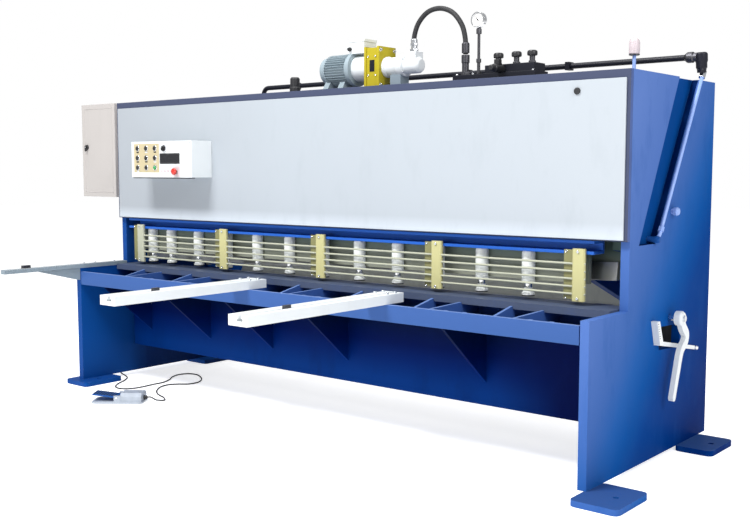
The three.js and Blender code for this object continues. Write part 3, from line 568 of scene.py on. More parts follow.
def curve_through(points, per_span=10):
    """Centripetal Catmull-Rom points through the given ones."""
    points = [Vector(p) for p in points]
    padded = [2 * points[0] - points[1], *points, 2 * points[-1] - points[-2]]
    result = [points[0]]
    for p0, p1, p2, p3 in zip(padded, padded[1:], padded[2:], padded[3:]):
        t1 = (p1 - p0).length ** 0.5
        t2 = t1 + (p2 - p1).length ** 0.5
        t3 = t2 + (p3 - p2).length ** 0.5
        for step in range(1, per_span + 1):
            t = t1 + (t2 - t1) * step / per_span
            a1 = p0 * ((t1 - t) / t1) + p1 * (t / t1)
            a2 = p1 * ((t2 - t) / (t2 - t1)) + p2 * ((t - t1) / (t2 - t1))
            a3 = p2 * ((t3 - t) / (t3 - t2)) + p3 * ((t - t2) / (t3 - t2))
            b1 = a1 * ((t2 - t) / t2) + a2 * (t / t2)
            b2 = a2 * ((t3 - t) / (t3 - t1)) + a3 * ((t - t1) / (t3 - t1))
            result.append(b1 * ((t2 - t) / (t2 - t1)) + b2 * ((t - t1) / (t2 - t1)))
    return result


def from_middle(x, y, z):
    """A place given from the middle of the panel's front face, at floor level."""
    return MIDDLE + Vector((x, y, z))


# ---------------------------------------------------------------- foot switch cable
CABLE_RADIUS = 4
LIE = CABLE_RADIUS + GAP
PEDAL_TURN = atan2(JOINTS["treadle_press"]["axis"][0], -JOINTS["treadle_press"]["axis"][1])
PEDAL = Vector((*joint_place("treadle_press")[:2], 0))
CABLE_GLAND = from_middle(-1748, 150, 120)


def pedal_point(x, y, z):
    """A point in the foot switch's own axes."""
    return PEDAL + Matrix.Rotation(PEDAL_TURN, 3, "Z") @ Vector((x, y, z))


CABLE_FLOOR_ROUTE = [
    (-942, -352, 12), (-930, -306, LIE), (-985, -266, LIE), (-1050, -244, LIE), (-1117, -211, LIE),
    (-1179, -158, LIE), (-1228, -90, LIE), (-1238, -25, LIE), (-1205, 22, LIE), (-1160, 62, LIE),
    (-1152, 128, LIE), (-1192, 194, LIE), (-1262, 248, LIE), (-1342, 282, LIE), (-1402, 268, LIE),
    (-1428, 212, LIE), (-1404, 140, LIE), (-1350, 70, LIE), (-1318, -5, LIE), (-1318, -80, LIE),
    (-1312, -160, LIE), (-1322, -230, LIE), (-1370, -278, LIE), (-1432, -270, LIE), (-1498, -206, LIE),
    (-1550, -120, LIE), (-1612, -52, LIE), (-1690, -16, LIE), (-1765, 14, LIE), (-1828, 62, LIE),
    (-1850, 130, LIE), (-1826, 184, LIE), (-1786, 196, LIE + 6), (-1756, 176, 34), (-1748, 154, 72),
]


def pedal_cable():
    route = [pedal_point(158.3, 0, 26), pedal_point(178, 0, 26)]
    route += [from_middle(*p) for p in CABLE_FLOOR_ROUTE]
    route.append(CABLE_GLAND - Vector((0, 0, GAP)))
    line = [p * MM for p in reversed(curve_through(route, 8))]
    data = bpy.data.curves.new("foot_switch_cable", "CURVE")
    data.dimensions = "3D"
    data.bevel_depth = CABLE_RADIUS * MM
    data.bevel_resolution = 4
    data.use_fill_caps = True
    spline = data.splines.new("POLY")
    spline.points.add(len(line) - 1)
    for point, place in zip(spline.points, line):
        point.co = (*place, 1)
    spline.use_smooth = True
    cable = bpy.data.objects.new("foot_switch_cable", data)
    bpy.context.scene.collection.objects.link(cable)
    data.materials.append(M_RUBBER)
    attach(cable, "frame")
    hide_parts("pedal_cable")


pedal_cable()


# ---------------------------------------------------------------- CAD nodes that stay
def dress(node, material, bevel=1.5, segments=2):
    """Gives a CAD node its material, rounded edges and clean shading. Its mesh stays as it is."""
    obj = NODES[node]
    obj.data.materials.clear()
    obj.data.materials.append(material)
    weld = obj.modifiers.new("weld", "WELD")
    weld.merge_threshold = 0.00001
    flat = obj.modifiers.new("flat", "DECIMATE")
    flat.decimate_type = "DISSOLVE"
    flat.angle_limit = radians(1)
    soften(obj, bevel, segments)


CAD_LOOKS = {
    "left_side_plate": (M_LEFT_PLATE, 2.5), "right_side_plate": (M_SIDE_PLATE, 2.5),
    "work_table": (M_TABLE, 2), "front_apron": (M_APRON, 1.5), "lower_blade": (M_STEEL, 0.5),
    "upper_blade": (M_STEEL, 0.5),
    "press_beam": (M_PRESS_PAINTED_LIGHT, 2), "panel_frame": (M_FRAME, 1.5), "front_panel": (M_PANEL, 2, 3),
    "oil_tank": (M_SLATE, 2), "electric_cabinet": (M_CABINET, 2), "cabinet_door": (M_CABINET, 4, 3),
    "control_box": (M_WHITE, 5, 3), "swing_beam": (M_BEAM, 2), "rear_guard": (M_GUARD, 1),
    "backgauge_beam": (M_BLUE_PAINTED_SHADE, 2),
}
for node, look in CAD_LOOKS.items():
    dress(node, *look)
for side in ("left", "right"):
    dress(f"backgauge_screw_{side}", M_BRIGHT, 0.8)
    dress(f"main_cylinder_{side}", M_BLUE, 1.5)
    dress(f"main_plunger_{side}", M_CHROME, 1)

# ---------------------------------------------------------------- hold-downs and finger guard
HOLD = Span("hold_down_cylinders")
PLUNGERS = [f"hold_down_plunger_{i:02d}" for i in range(1, 14)]
STATIONS = [Span(name).x for name in PLUNGERS]
GUARD = Span("finger_guard")


def hold_down_cylinders():
    shape = Shape(M_HOLD_WHITE_PAINTED_LIGHT, M_HOLD_RAIL, M_BRIGHT)
    y = Span(PLUNGERS[0]).y
    shape.use(1).box(HOLD.x0, HOLD.x1, y + 24, HOLD.y1, HOLD.z0 + 10, HOLD.z1)
    for x in STATIONS:
        shape.use(0).sleeve((x, y, 0), UP, [
            (HOLD.z1, 21), (HOLD.z1, 24), (HOLD.z1 - 4, 28), (HOLD.z1 - 12, 31), (HOLD.z0 + 26, 31),
            (HOLD.z0 + 24, 29), (HOLD.z0 + 18, 29), (HOLD.z0 + 16, 31), (HOLD.z0, 31), (HOLD.z0, 21)])
        shape.use(2).bolt((x + 22, HOLD.y1 - 3, HOLD.z1 - 40), (0, 1, 0), 13, 7)
    shape.piece("hold_down_barrels", bevel=1.2, replaces=["hold_down_cylinders"])


def hold_down_plunger(name):
    span = Span(name)
    shape = Shape(M_HOLD_WHITE_PAINTED_LIGHT, M_CHROME, M_RUBBER)
    x, y, z = span.x, span.y, span.z0
    shape.use(2).lathe((x, y, z), UP, [(0, 27), (0, 29), (5, 29.5), (5, 27)])
    shape.use(0).lathe((x, y, z + 4.5), UP, [
        (0, 28), (1, 30), (8, 30), (13, 27), (20, 22), (30, 19.5), (34, 18.5)])
    shape.use(1).lathe((x, y, z + 34), UP, [(0, 18), (span.z1 - z - 34, 18)])
    shape.piece(f"{name}_turned", body=name, bevel=0.8, replaces=[name])


POST_HALF = 30
POST_PITCH = 756
ROD_COUNT = 5
ROD_PITCH = 33
ROD_OVERHANG = 3  # beyond the end posts
WING_WIDTH = 46  # sheet that reaches from each post towards the next
POSTS = [GUARD.x1 - 33 - POST_PITCH * i for i in (4, 3, 2, 1, 0)]


def finger_guard():
    rod_y = GUARD.y0 + 9
    rods = Shape(M_CREAM)
    length = GUARD.x1 - POSTS[0] + POST_HALF + ROD_OVERHANG
    for i in range(ROD_COUNT):
        end = (POSTS[0] - POST_HALF - ROD_OVERHANG, rod_y, GUARD.z0 + 32 + ROD_PITCH * i)
        rods.lathe(end, RIGHT, [(0, 3), (2, 5), (length - 2, 5), (length, 3)], 16)
    rods.piece("finger_guard_rods", bevel=0)
    posts = Shape(M_YELLOW, M_BRIGHT, M_CREAM, M_YELLOW_PAINTED_SHADE)
    for x in POSTS:
        left, right = x - POST_HALF, x + POST_HALF
        posts.use(2 if x == POSTS[0] else 0).plate("z", [
            (left, rod_y + 9), (left, rod_y - 3), (left + 7, rod_y - 9), (right - 7, rod_y - 9),
            (right, rod_y - 3), (right, rod_y + 9)], GUARD.z0, GUARD.z1)
        posts.box(x - 8, x + 8, rod_y + 5, GUARD.y1, GUARD.z1 - 10, GUARD.z1)
        # The wing sheets take the olive copy of the yellow: painted shade behind the posts.
        posts.use(3).box(left - WING_WIDTH, left + 1, rod_y + 6, rod_y + 9, GUARD.z0 + 8, GUARD.z1 - 6)
        for z in (GUARD.z1 - 14, GUARD.z0 + 12):
            posts.use(1).cap_screw((x, rod_y - 9, z), FRONT, 6, 6)
            posts.cap_screw((left - 34, rod_y + 6, z), FRONT, 5, 4)
    posts.piece("finger_guard_posts", bevel=1.2, replaces=["finger_guard"])


hold_down_cylinders()
for plunger in PLUNGERS:
    hold_down_plunger(plunger)
finger_guard()

# ---------------------------------------------------------------- hydraulic unit on top
UNIT_Y = Span("pressure_gauge").y
MOTOR = Span("motor")
BELL = Span("bell_housing")
PUMP = Span("pump")
VALVES = Span("valve_manifold")
SHAFT_Z = TOP + 118


def motor():
    shape = Shape(M_MOTOR, M_BRIGHT, M_WHITE)
    x0, x1 = MOTOR.x0, MOTOR.x1
    feet = (x0 + 47, x0 + 152)
    shape.lathe((x0, UNIT_Y, SHAFT_Z), RIGHT, [(0, 60), (3, 70), (26, 74), (40, 74)], 40)
    shape.lathe((x0 + 40, UNIT_Y, SHAFT_Z), RIGHT, [(-2, 70), (150, 70)], 40)
    fins = 36
    for i in range(fins):
        fin = shape.box(x0 + 38, x0 + 184, UNIT_Y - 1.6, UNIT_Y + 1.6, SHAFT_Z + 66, SHAFT_Z + 82)
        shape.rotate(fin, (0, UNIT_Y, SHAFT_Z), 2 * pi * i / fins, "X")
    shape.lathe((x0 + 182, UNIT_Y, SHAFT_Z), RIGHT, [
        (0, 78), (4, 82), (16, 82), (16, 91), (40, 91), (40, 60)], 40)
    shape.use(2).lathe((x0 + 220, UNIT_Y, SHAFT_Z), RIGHT, [(0, 66), (x1 - x0 - 220, 66)], 40)
    shape.use(0)
    foot = [(-76, GAP), (76, GAP), (76, 14), (44, 62), (-44, 62), (-76, 14)]
    for x in feet:
        shape.plate("x", [(UNIT_Y + y, TOP + z) for y, z in foot], x - 18, x + 18)
    shape.use(1)
    for x, y in product(feet, (-62, 62)):
        shape.bolt((x, UNIT_Y + y, TOP + 14), UP, 13, 7)
    for i in range(8):
        turn = 2 * pi * (i + 0.5) / 8
        place = (x0 + 206, UNIT_Y + 79.8 * cos(turn), SHAFT_Z + 79.8 * sin(turn))
        shape.bolt(place, (-1, 0, 0), 10, 6)
    shape.piece("motor_body", bevel=1.2, replaces=["motor"])
    cover = Shape(M_WHITE, M_BRIGHT, M_BLACK_PLASTIC)
    cover.box(x1 - 135, x1 - 15, UNIT_Y - 50, UNIT_Y + 50, SHAFT_Z + 76, MOTOR.z1 - 16)
    cover.box(x1 - 138, x1 - 12, UNIT_Y - 52, UNIT_Y + 52, MOTOR.z1 - 15, MOTOR.z1)
    gland = (x1 - 110, UNIT_Y - 50, SHAFT_Z + 100)
    cover.use(2).lathe(gland, FRONT, [(0, 11), (10, 11), (12, 8), (18, 8)], 20)
    cover.use(1)
    for x, y in product((x1 - 128, x1 - 22), (-42, 42)):
        cover.cap_screw((x, UNIT_Y + y, MOTOR.z1 - 5), UP, 4, 4)
    cover.piece("motor_terminal_box", bevel=3)


def bell_housing():
    shape = Shape(M_OCHRE, M_BRIGHT, M_BLACK)
    shape.box(BELL.x0 + 10, BELL.x1 - 10, UNIT_Y - 64, UNIT_Y + 64, TOP + 4, BELL.z1 - 6)
    for x in (BELL.x0, BELL.x1 - 14):
        shape.box(x, x + 14, UNIT_Y - 70, UNIT_Y + 70, TOP + 2, BELL.z1)
    shape.box(BELL.x0 + 6, BELL.x1 - 6, UNIT_Y - 60, UNIT_Y + 60, TOP + GAP, TOP + 14)
    shape.use(2).box(BELL.x0 + 34, BELL.x1 - 34, UNIT_Y - 66, UNIT_Y - 60, SHAFT_Z - 26, SHAFT_Z + 34)
    shape.use(1)
    for x, z in product((BELL.x0 + 26, BELL.x1 - 26), (SHAFT_Z - 44, SHAFT_Z + 52)):
        shape.cap_screw((x, UNIT_Y - 64, z), FRONT, 5, 5)
    for y, z in product((-56, 56), (TOP + 24, BELL.z1 - 18)):
        shape.bolt((BELL.x1, UNIT_Y + y, z), RIGHT, 13, 8)
    shape.piece("pump_bell_housing", bevel=5, segments=3, replaces=["bell_housing"])


def pump():
    shape = Shape(M_WHITE, M_BRIGHT, M_GREY)
    x0, x1 = PUMP.x0, PUMP.x1
    port_x = x1 - 50
    shape.lathe((x0, UNIT_Y, SHAFT_Z - 3), RIGHT, [
        (0, 54), (14, 54), (18, 48), (84, 48), (90, 54), (126, 54), (130, 44)], 40)
    shape.lathe((x0 + 126, UNIT_Y, SHAFT_Z - 3), RIGHT, [
        (0, 42), (80, 42), (92, 34), (x1 - x0 - 126, 22)], 40)
    shape.box(port_x - 32, port_x + 32, UNIT_Y - 32, UNIT_Y + 32, SHAFT_Z, SHAFT_Z + 64)
    shape.use(2).box(x0 + 46, x0 + 114, UNIT_Y - 36, UNIT_Y + 36, TOP + GAP, TOP + 72)
    shape.use(1).hexagon((port_x, UNIT_Y, SHAFT_Z + 62), UP, 40, 16)
    shape.lathe((port_x, UNIT_Y, SHAFT_Z + 76), UP, [(0, 16), (PUMP.z1 - SHAFT_Z - 76, 16)])
    for turn in (45, 135, 225, 315):
        across = Vector((0, cos(radians(turn)), sin(radians(turn)))) * 46
        shape.bolt(Vector((x0 + 126, UNIT_Y, SHAFT_Z - 3)) + across, RIGHT, 10, 7)
    shape.piece("hydraulic_pump", bevel=2, replaces=["pump"])


def pressure_hose():
    arch = [(420, 1932.3), (420, 1975), (445, 2040), (505, 2092), (580, 2103), (655, 2076), (712, 2010),
            (732, 1945), (735, 1900), (735, 1868.3)]
    line = curve_through([Vector((MIDDLE.x + x, UNIT_Y, z)) for x, z in arch], 8)
    hose = Shape(M_RUBBER, M_BRIGHT, M_DARK_STEEL)
    hose.tube(line, 12.5, 20)
    hose.use(1)
    pump_port = (PUMP.x1 - 50, UNIT_Y, PUMP.z1 + GAP)
    hose.sleeve(pump_port, UP, [(0, 10), (0, 17), (30, 17), (34, 14), (34, 10)], 24)
    hose.hexagon(pump_port, UP, 36, 12)
    hose.use(2)
    valve_port = (VALVES.x0 + 35, UNIT_Y, VALVES.z1 - 20)
    hose.sleeve(valve_port, UP, [(25, 10), (25, 19), (70, 19), (76, 14.5), (76, 10)], 24)
    hose.piece("pressure_hose_formed", bevel=0.8, replaces=["pressure_hose"])


def valve_manifold():
    shape = Shape(M_BLACK, M_DARK_STEEL, M_BLACK_PLASTIC, M_BRIGHT)
    x0, x1 = VALVES.x0, VALVES.x1
    shape.box(x0, x1, UNIT_Y - 60, UNIT_Y + 60, TOP + GAP, TOP + 42)
    shape.box(x0 + 180, x1 - 10, UNIT_Y - 50, UNIT_Y + 50, TOP + 40, TOP + 80)
    shape.use(1)
    shape.hexagon((x0 + 35, UNIT_Y, TOP + 40), UP, 44, 22)
    shape.lathe((x0 + 35, UNIT_Y, TOP + 60), UP, [(0, 17), (44, 17), (46, 20), (VALVES.z1 - TOP - 64, 20)])
    for x in (x0 + 225, x0 + 325, x0 + 410):
        shape.use(1).hexagon((x, UNIT_Y, TOP + 78), UP, 34, 14)
        shape.lathe((x, UNIT_Y, TOP + 90), UP, [(0, 13), (28, 13)])
        shape.use(2).lathe((x, UNIT_Y, TOP + 114), UP, [
            (0, 16), (2, 23), (8, 24), (18, 24), (24, 21), (VALVES.z1 - TOP - 122, 16)], 12)
    shape.use(2)
    for side in (-1, 1):
        shape.lathe((x0 + 275, UNIT_Y + side * 48, TOP + 58), (0, side, 0), [
            (0, 20), (70, 20), (74, 16), (98, 13), (100, 9)], 28)
        shape.box(x0 + 262, x0 + 288, UNIT_Y + side * 84 - 14, UNIT_Y + side * 84 + 14, TOP + 74, TOP + 100)
    shape.use(3)
    for x, y in product((x0 + 18, x0 + 110, x1 - 18), (-46, 46)):
        shape.cap_screw((x, UNIT_Y + y, TOP + 42), UP, 7, 7)
    shape.piece("valve_block", bevel=2, replaces=["valve_manifold"])


def pressure_gauge():
    span = Span("pressure_gauge")
    shape = Shape(M_CHROME, M_DIAL, M_BLACK_PLASTIC, M_DARK_STEEL)
    centre_z = span.z1 - 38
    depth = span.y1 - span.y0
    shape.lathe((span.x, span.y1, centre_z), FRONT, [
        (0, 32), (3, 36), (22, 36), (22, 38), (31, 38), (depth, 35), (depth, 32), (27, 32)], 48)
    shape.use(1).lathe((span.x, span.y1 - 24, centre_z), FRONT, [(0, 32.5), (4, 32.5)], 48)
    shape.use(2)

    def on_dial(degrees, outline):
        """Outline points (distance out, distance aside) along a ray from the dial's middle."""
        c, s = cos(radians(degrees)), sin(radians(degrees))
        return [(span.x + c * r - w * s, centre_z + s * r + w * c) for r, w in outline]

    for i in range(11):
        mark = on_dial(225 - 27 * i, [(24, 0.9), (24, -0.9), (29, -0.9), (29, 0.9)])
        shape.plate("y", mark, span.y1 - 28.5, span.y1 - 27.9)
    needle = on_dial(130, [(-7, -1.6), (25, -0.5), (25, 0.5), (-7, 1.6)])
    shape.plate("y", needle, span.y1 - 29.8, span.y1 - 29)
    shape.lathe((span.x, span.y1 - 28, centre_z), FRONT, [(0, 3), (3, 3)], 16)
    shape.use(3).lathe((span.x, UNIT_Y, span.z0), UP, [
        (0, 14), (16, 14), (16, 8), (60, 8), (60, 12), (78, 12), (78, 7), (centre_z - 66 - span.z0, 7),
        (centre_z - 66 - span.z0, 13), (centre_z - 44 - span.z0, 13), (centre_z - 36 - span.z0, 8)], 24)
    shape.piece("gauge_assembly", bevel=0.5, replaces=["pressure_gauge"])


def filler_cap():
    span = Span("filler_cap")
    shape = Shape(M_BLACK_PLASTIC, M_BRIGHT)
    shape.use(1).lathe((span.x, span.y, span.z0), UP, [(0, 38), (6, 38), (8, 34), (10, 30)], 40)
    height = span.z1 - span.z0 - 10
    shape.use(0).lathe((span.x, span.y, span.z0 + 10), UP, [
        (0, 30), (34, 30), (38, 26), (44, 26), (48, 27), (height - 8, 27), (height, 20)], 40)
    shape.use(1)
    for i in range(6):
        turn = 2 * pi * i / 6
        shape.cap_screw((span.x + 33 * cos(turn), span.y + 33 * sin(turn), span.z0 + 5), UP, 3, 3)
    shape.piece("filler_breather", bevel=1, replaces=["filler_cap"])


def series_pipe():
    span = Span("series_pipe")
    y = MIDDLE.y + 620
    z = TOP + 95
    bend = 42
    start_x = MIDDLE.x - 1050
    corner = [Vector((start_x + bend - bend * cos(t), y, z - bend + bend * sin(t))) for t in
              (pi / 2 * i / 10 for i in range(11))]
    end_x = MIDDLE.x + 1755
    pipe = Shape(M_BLACK, M_DARK_STEEL)
    pipe.tube([Vector((start_x, y, span.z0)), *corner, Vector((end_x - 40, y, z))], 14, 24)
    pipe.use(1).lathe((end_x - 64, y, z), RIGHT, [
        (0, 14), (12, 23), (16, 25), (40, 25), (44, 20), (60, 20)], 28)
    pipe.use(0).lathe((end_x + 9, y + 9, z + 22), (0, 0.12, -1), [
        (0, 16), (3, 24), (10, 28), (40, 28), (48, 25), (70, 25), (76, 21), (92, 20)], 32)
    pipe.use(1).hexagon((end_x + 9, y + 17, z - 46), (0, 0.12, -1), 40, 12)
    pipe.use(0)
    for x in (-760, -160, 500, 1100):
        place = MIDDLE.x + x
        pipe.box(place - 12, place + 12, y - 24, y + 24, z - 20, z + 20)
    pipe.piece("series_pipe_bent", bevel=1.2, replaces=["series_pipe"])


motor()
bell_housing()
pump()
pressure_hose()
valve_manifold()
pressure_gauge()
filler_cap()
series_pipe()


def down_pipe():
    span = Span("down_pipe")
    top = Vector((span.x1 - 15, span.y1 - 12, span.z1 - 8))
    bottom = from_middle(1744, 262, 1004)
    along = (top - bottom).normalized()
    bend = 34
    a, b, c = bottom + along * bend, bottom, bottom - Vector(RIGHT) * bend
    corner = [a * (1 - t) ** 2 + b * 2 * t * (1 - t) + c * t ** 2 for t in (i / 8 for i in range(9))]
    shape = Shape(M_PIPE_BLUE, M_BLUE, M_BRIGHT)
    shape.tube([top, *corner], 8, 20)
    shape.use(2).hexagon(top - along * 48, along, 28, 34)
    shape.use(0).hexagon(bottom + along * 40, along, 24, 22)
    shape.use(1).lathe(from_middle(1694, 262, 1004), RIGHT, [
        (0, 13), (30, 13), (38, 16), (50, 16), (58, 12)], 24)
    shape.piece("down_pipe_bent", bevel=0.8, replaces=["down_pipe"])


down_pipe()

# ---------------------------------------------------------------- electric cabinet
CABINET = Span("electric_cabinet")
DOOR = Span("cabinet_door")


def cabinet_fittings():
    shape = Shape(M_PALE_PLASTIC, M_BRIGHT, M_BLACK_PLASTIC)
    back, foot = CABINET.y1 - 25, CABINET.z0
    for z in (foot + 120, foot + 330):
        shape.box(CABINET.x0 + 34, CABINET.x1 - 34, back - 21, back, z, z + 40)
    shape.use(2)
    for i in range(6):
        x = CABINET.x0 + 44 + 42 * i
        shape.box(x, x + 36, back - 85, back, foot + 210, foot + 290)
        shape.box(x, x + 36, back - 71, back, foot + 410, foot + 480)
    shape.use(1)
    for z, x in product((CABINET.z0 + 60, CABINET.z1 - 60), (CABINET.x0 + 44, CABINET.x1 - 44)):
        shape.bolt((x, CABINET.y1 - 24, z), FRONT, 10, 6)
    shape.piece("cabinet_switchgear", bevel=1.5)


def cabinet_door_trim():
    """A pressed rib round the door."""
    shape = Shape(M_CABINET)
    front = DOOR.y0
    inset, width = 26, 5
    x0, x1, z0, z1 = DOOR.x0 + inset, DOOR.x1 - inset, DOOR.z0 + inset, DOOR.z1 - inset
    for a, b, c, d in ((x0, x1, z0, z0 + width), (x0, x1, z1 - width, z1),
                       (x0, x0 + width, z0, z1), (x1 - width, x1, z0, z1)):
        shape.box(a, b, front - 1.6, front + 1, c, d)
    shape.piece("cabinet_door_trim", body="cabinet_door", bevel=1.2)


def door_lock():
    x, y, z = joint_place("door_lock_turn")
    front = DOOR.y0
    shape = Shape(M_BLACK_PLASTIC, M_BRIGHT)
    shape.lathe((x, front - 0.6, z), FRONT, [(0, 17), (2, 17), (5, 15), (9, 15)], 36)
    wing = [(-5, -26), (5, -26), (7, -4), (6, 10), (-6, 10), (-7, -4)]
    shape.plate("y", [(x + a, z + b) for a, b in wing], front - 18, front - 8)
    shape.use(1).lathe((x, front + 12, z), FRONT, [(0, 7), (11, 7)], 24)
    shape.lathe((x, front - 17, z), FRONT, [(0, 4), (2.6, 4)], 20)
    shape.piece("door_lock_handle", body="door_lock", bevel=1.2, replaces=["door_lock"])


cabinet_fittings()
cabinet_door_trim()
door_lock()

# ---------------------------------------------------------------- control box
BOX = Span("control_box")
START = Span("start_button")
STOP = Span("stop_button")
ESTOP = Span("emergency_stop")
SELECTOR = Span("mode_selector")
KEY_PITCH_X = START.x - STOP.x
KEY_PITCH_Z = 56


def control_box_face():
    front = BOX.y0
    columns = [STOP.x - KEY_PITCH_X, STOP.x, START.x]
    rows = [START.z + KEY_PITCH_Z * i for i in range(3)]
    shape = Shape(M_BEIGE, M_BLACK_PLASTIC, M_SCREEN, M_BRIGHT, M_PINK, M_PALE_PLASTIC)
    shape.box(columns[0] - 36, columns[2] + 36, front - 1.6, front + 1, rows[0] - 27, rows[2] + 27)
    shape.use(1)
    for (i, x), (j, z) in product(enumerate(columns), enumerate(rows)):
        place = (x, front - 1, z)
        shape.use(3).sleeve(place, FRONT, [(0, 13), (0, 17), (3, 17), (4.5, 15.5), (4.5, 13)], 28)
        if j == 0 and i > 0:
            continue  # the two moving buttons are pieces of their own
        shape.use(1).lathe(place, FRONT, [(0, 13), (6, 13), (8, 11)], 28)
        shape.use(5 if (i + j) % 3 == 0 else 1)
        shape.box(x - 11, x + 11, front - 2.4, front, z - 26, z - 19)
    shape.use(1)
    screen_x0, screen_x1 = columns[2] + 50, columns[2] + 212
    shape.box(screen_x0 - 6, screen_x1 + 6, front - 3, front + 1, rows[1] - 34, rows[1] + 26)
    shape.use(2).box(screen_x0, screen_x1, front - 3.6, front - 2, rows[1] - 27, rows[1] + 19)
    shape.use(3).sleeve((SELECTOR.x, front - GAP, SELECTOR.z), FRONT, [
        (0, 15.6), (0, 21), (3, 21), (4, 19), (4, 15.6)], 32)
    shape.use(4)
    for i in range(4):
        x = columns[2] + 58 + 28 * i
        shape.lathe((x, front, rows[0] - 18), FRONT, [(-1, 9), (3, 9), (5, 7)], 24)
    shape.box(ESTOP.x - 30, ESTOP.x + 30, front - 2, front + 1, ESTOP.z - 30, ESTOP.z + 30)
    # A black strip under the lower edge of the box stands in for the shadow line there: painted shadow.
    shape.use(1).box(BOX.x0 + 8, BOX.x1 - 40, front + 3, front + 60, BOX.z0 - 6, BOX.z0 + 1)
    shape.use(3)
    for x, z in product((BOX.x0 + 14, BOX.x1 - 14), (BOX.z0 + 14, BOX.z1 - 14)):
        shape.cap_screw((x, front, z), FRONT, 4.5, 3)
    shape.piece("control_box_face", bevel=0.6)


def push_button(node, material):
    span = Span(node)
    depth = span.y1 - span.y0
    shape = Shape(material)
    profile = [(0, 10.5), (depth - 3, 10.5), (depth - 1, 9.6), (depth, 8)]
    shape.lathe((span.x, span.y1, span.z), FRONT, profile, 32)
    shape.piece(f"{node}_cap", body=node, bevel=0.4, replaces=[node])


def emergency_stop():
    span = ESTOP
    shape = Shape(M_RED, M_BLACK_PLASTIC)
    depth = span.y1 - span.y0
    shape.use(1).lathe((span.x, span.y1, span.z), FRONT, [(0, 8.5), (depth - 16, 8.5)], 28)
    shape.use(0).lathe((span.x, span.y1, span.z), FRONT, [
        (depth - 18, 13), (depth - 14, 19), (depth - 8, 20), (depth - 3, 18), (depth - 0.5, 12),
        (depth, 6)], 40)
    shape.piece("emergency_stop_mushroom", body="emergency_stop", bevel=0.5, replaces=["emergency_stop"])


def mode_selector():
    span = SELECTOR
    depth = span.y1 - span.y0
    shape = Shape(M_BLACK_PLASTIC, M_WHITE)
    shape.lathe((span.x, span.y1, span.z), FRONT, [
        (0, 8.5), (depth - 22, 8.5), (depth - 22, 15), (depth - 11, 14)], 36)
    handle = [(-3, -13), (3, -13), (5, 0), (3, 13), (-3, 13), (-5, 0)]
    shape.plate("y", [(span.x + a, span.z + b) for a, b in handle], span.y0, span.y0 + 13)
    shape.use(1).box(span.x - 0.8, span.x + 0.8, span.y0 - GAP, span.y0 + 1, span.z + 3, span.z + 12)
    shape.piece("mode_selector_knob", body="mode_selector", bevel=0.6, replaces=["mode_selector"])


control_box_face()
push_button("start_button", M_GREEN)
push_button("stop_button", M_BLACK_PLASTIC)
emergency_stop()
mode_selector()

# ---------------------------------------------------------------- arms
M_ARM_SCALE = ruler("arm_scale", "Y", (0.75, 0.74, 0.68))


def support_arm(node):
    span = Span(node)
    slot_x0, slot_x1 = span.x + 2, span.x + 20
    floor = span.z1 - 26
    shape = Shape(M_WHITE, M_ARM_SCALE, M_BRIGHT, M_DARK_STEEL)
    outline = [(span.x0, span.z0), (span.x1, span.z0), (span.x1, span.z1), (slot_x1, span.z1),
               (slot_x1, floor + 12), (slot_x1 + 8, floor + 12), (slot_x1 + 8, floor), (slot_x0 - 8, floor),
               (slot_x0 - 8, floor + 12), (slot_x0, floor + 12), (slot_x0, span.z1), (span.x0, span.z1)]
    shape.plate("y", outline, span.y0, span.y1)
    shape.use(1).box(span.x0 + 12, span.x0 + 34, span.y0 + 40, span.y1 - 160, span.z1 - 1, span.z1 + 0.4)
    shape.use(2)
    for y in (TABLE.y0 + 26, TABLE.y0 + 86):
        shape.cap_screw((span.x0 + 24, y, span.z1), UP, 9, 9)
        shape.cap_screw((span.x1 - 16, y, span.z1), UP, 9, 9)
    shape.use(3).box(slot_x0 - 6, slot_x1 + 6, span.y0 + 240, span.y0 + 290, floor + 1, floor + 10)
    shape.box(slot_x0 + 1, slot_x1 - 1, span.y0 + 246, span.y0 + 284, floor + 8, span.z1 + 14)
    shape.piece(f"{node}_slotted", bevel=3, segments=3, replaces=[node])


def squaring_arm():
    span = Span("squaring_arm")
    shape = Shape(M_GREY, ruler("squaring_scale", "Y", (0.62, 0.62, 0.60)), M_BRIGHT, M_DARK_STEEL)
    top = span.z1 - 18
    bottom = top - 24
    shape.box(span.x0, span.x1, span.y0, span.y1, bottom, top)
    shape.plate("x", [(span.y0 + 205, bottom + 2), (TABLE.y0 - GAP, bottom + 2), (TABLE.y0 - GAP, span.z0),
                      (TABLE.y0 - 12, span.z0)], span.x0 + 22, span.x0 + 34)
    shape.use(1).box(span.x1 - 16, span.x1 - 4, span.y0 + 12, span.y1 - 30, top - 1, top + 0.5)
    shape.use(3).box(span.x0 + 6, span.x1 - 14, span.y0 + 125, span.y0 + 175, top - 1, top + 17)
    shape.use(2).cap_screw(((span.x0 + span.x1) / 2 - 6, span.y0 + 150, top + 16), UP, 4, 2)
    for y in (-60, -200, -280):
        shape.cap_screw((span.x0 + 14, MIDDLE.y + y, top), UP, 7, 6)
    shape.piece("squaring_arm_scaled", bevel=1.5, replaces=["squaring_arm"])


support_arm("support_arm_left")
support_arm("support_arm_right")
squaring_arm()

# ---------------------------------------------------------------- gap lever and scale
LEVER = Span("gap_lever")


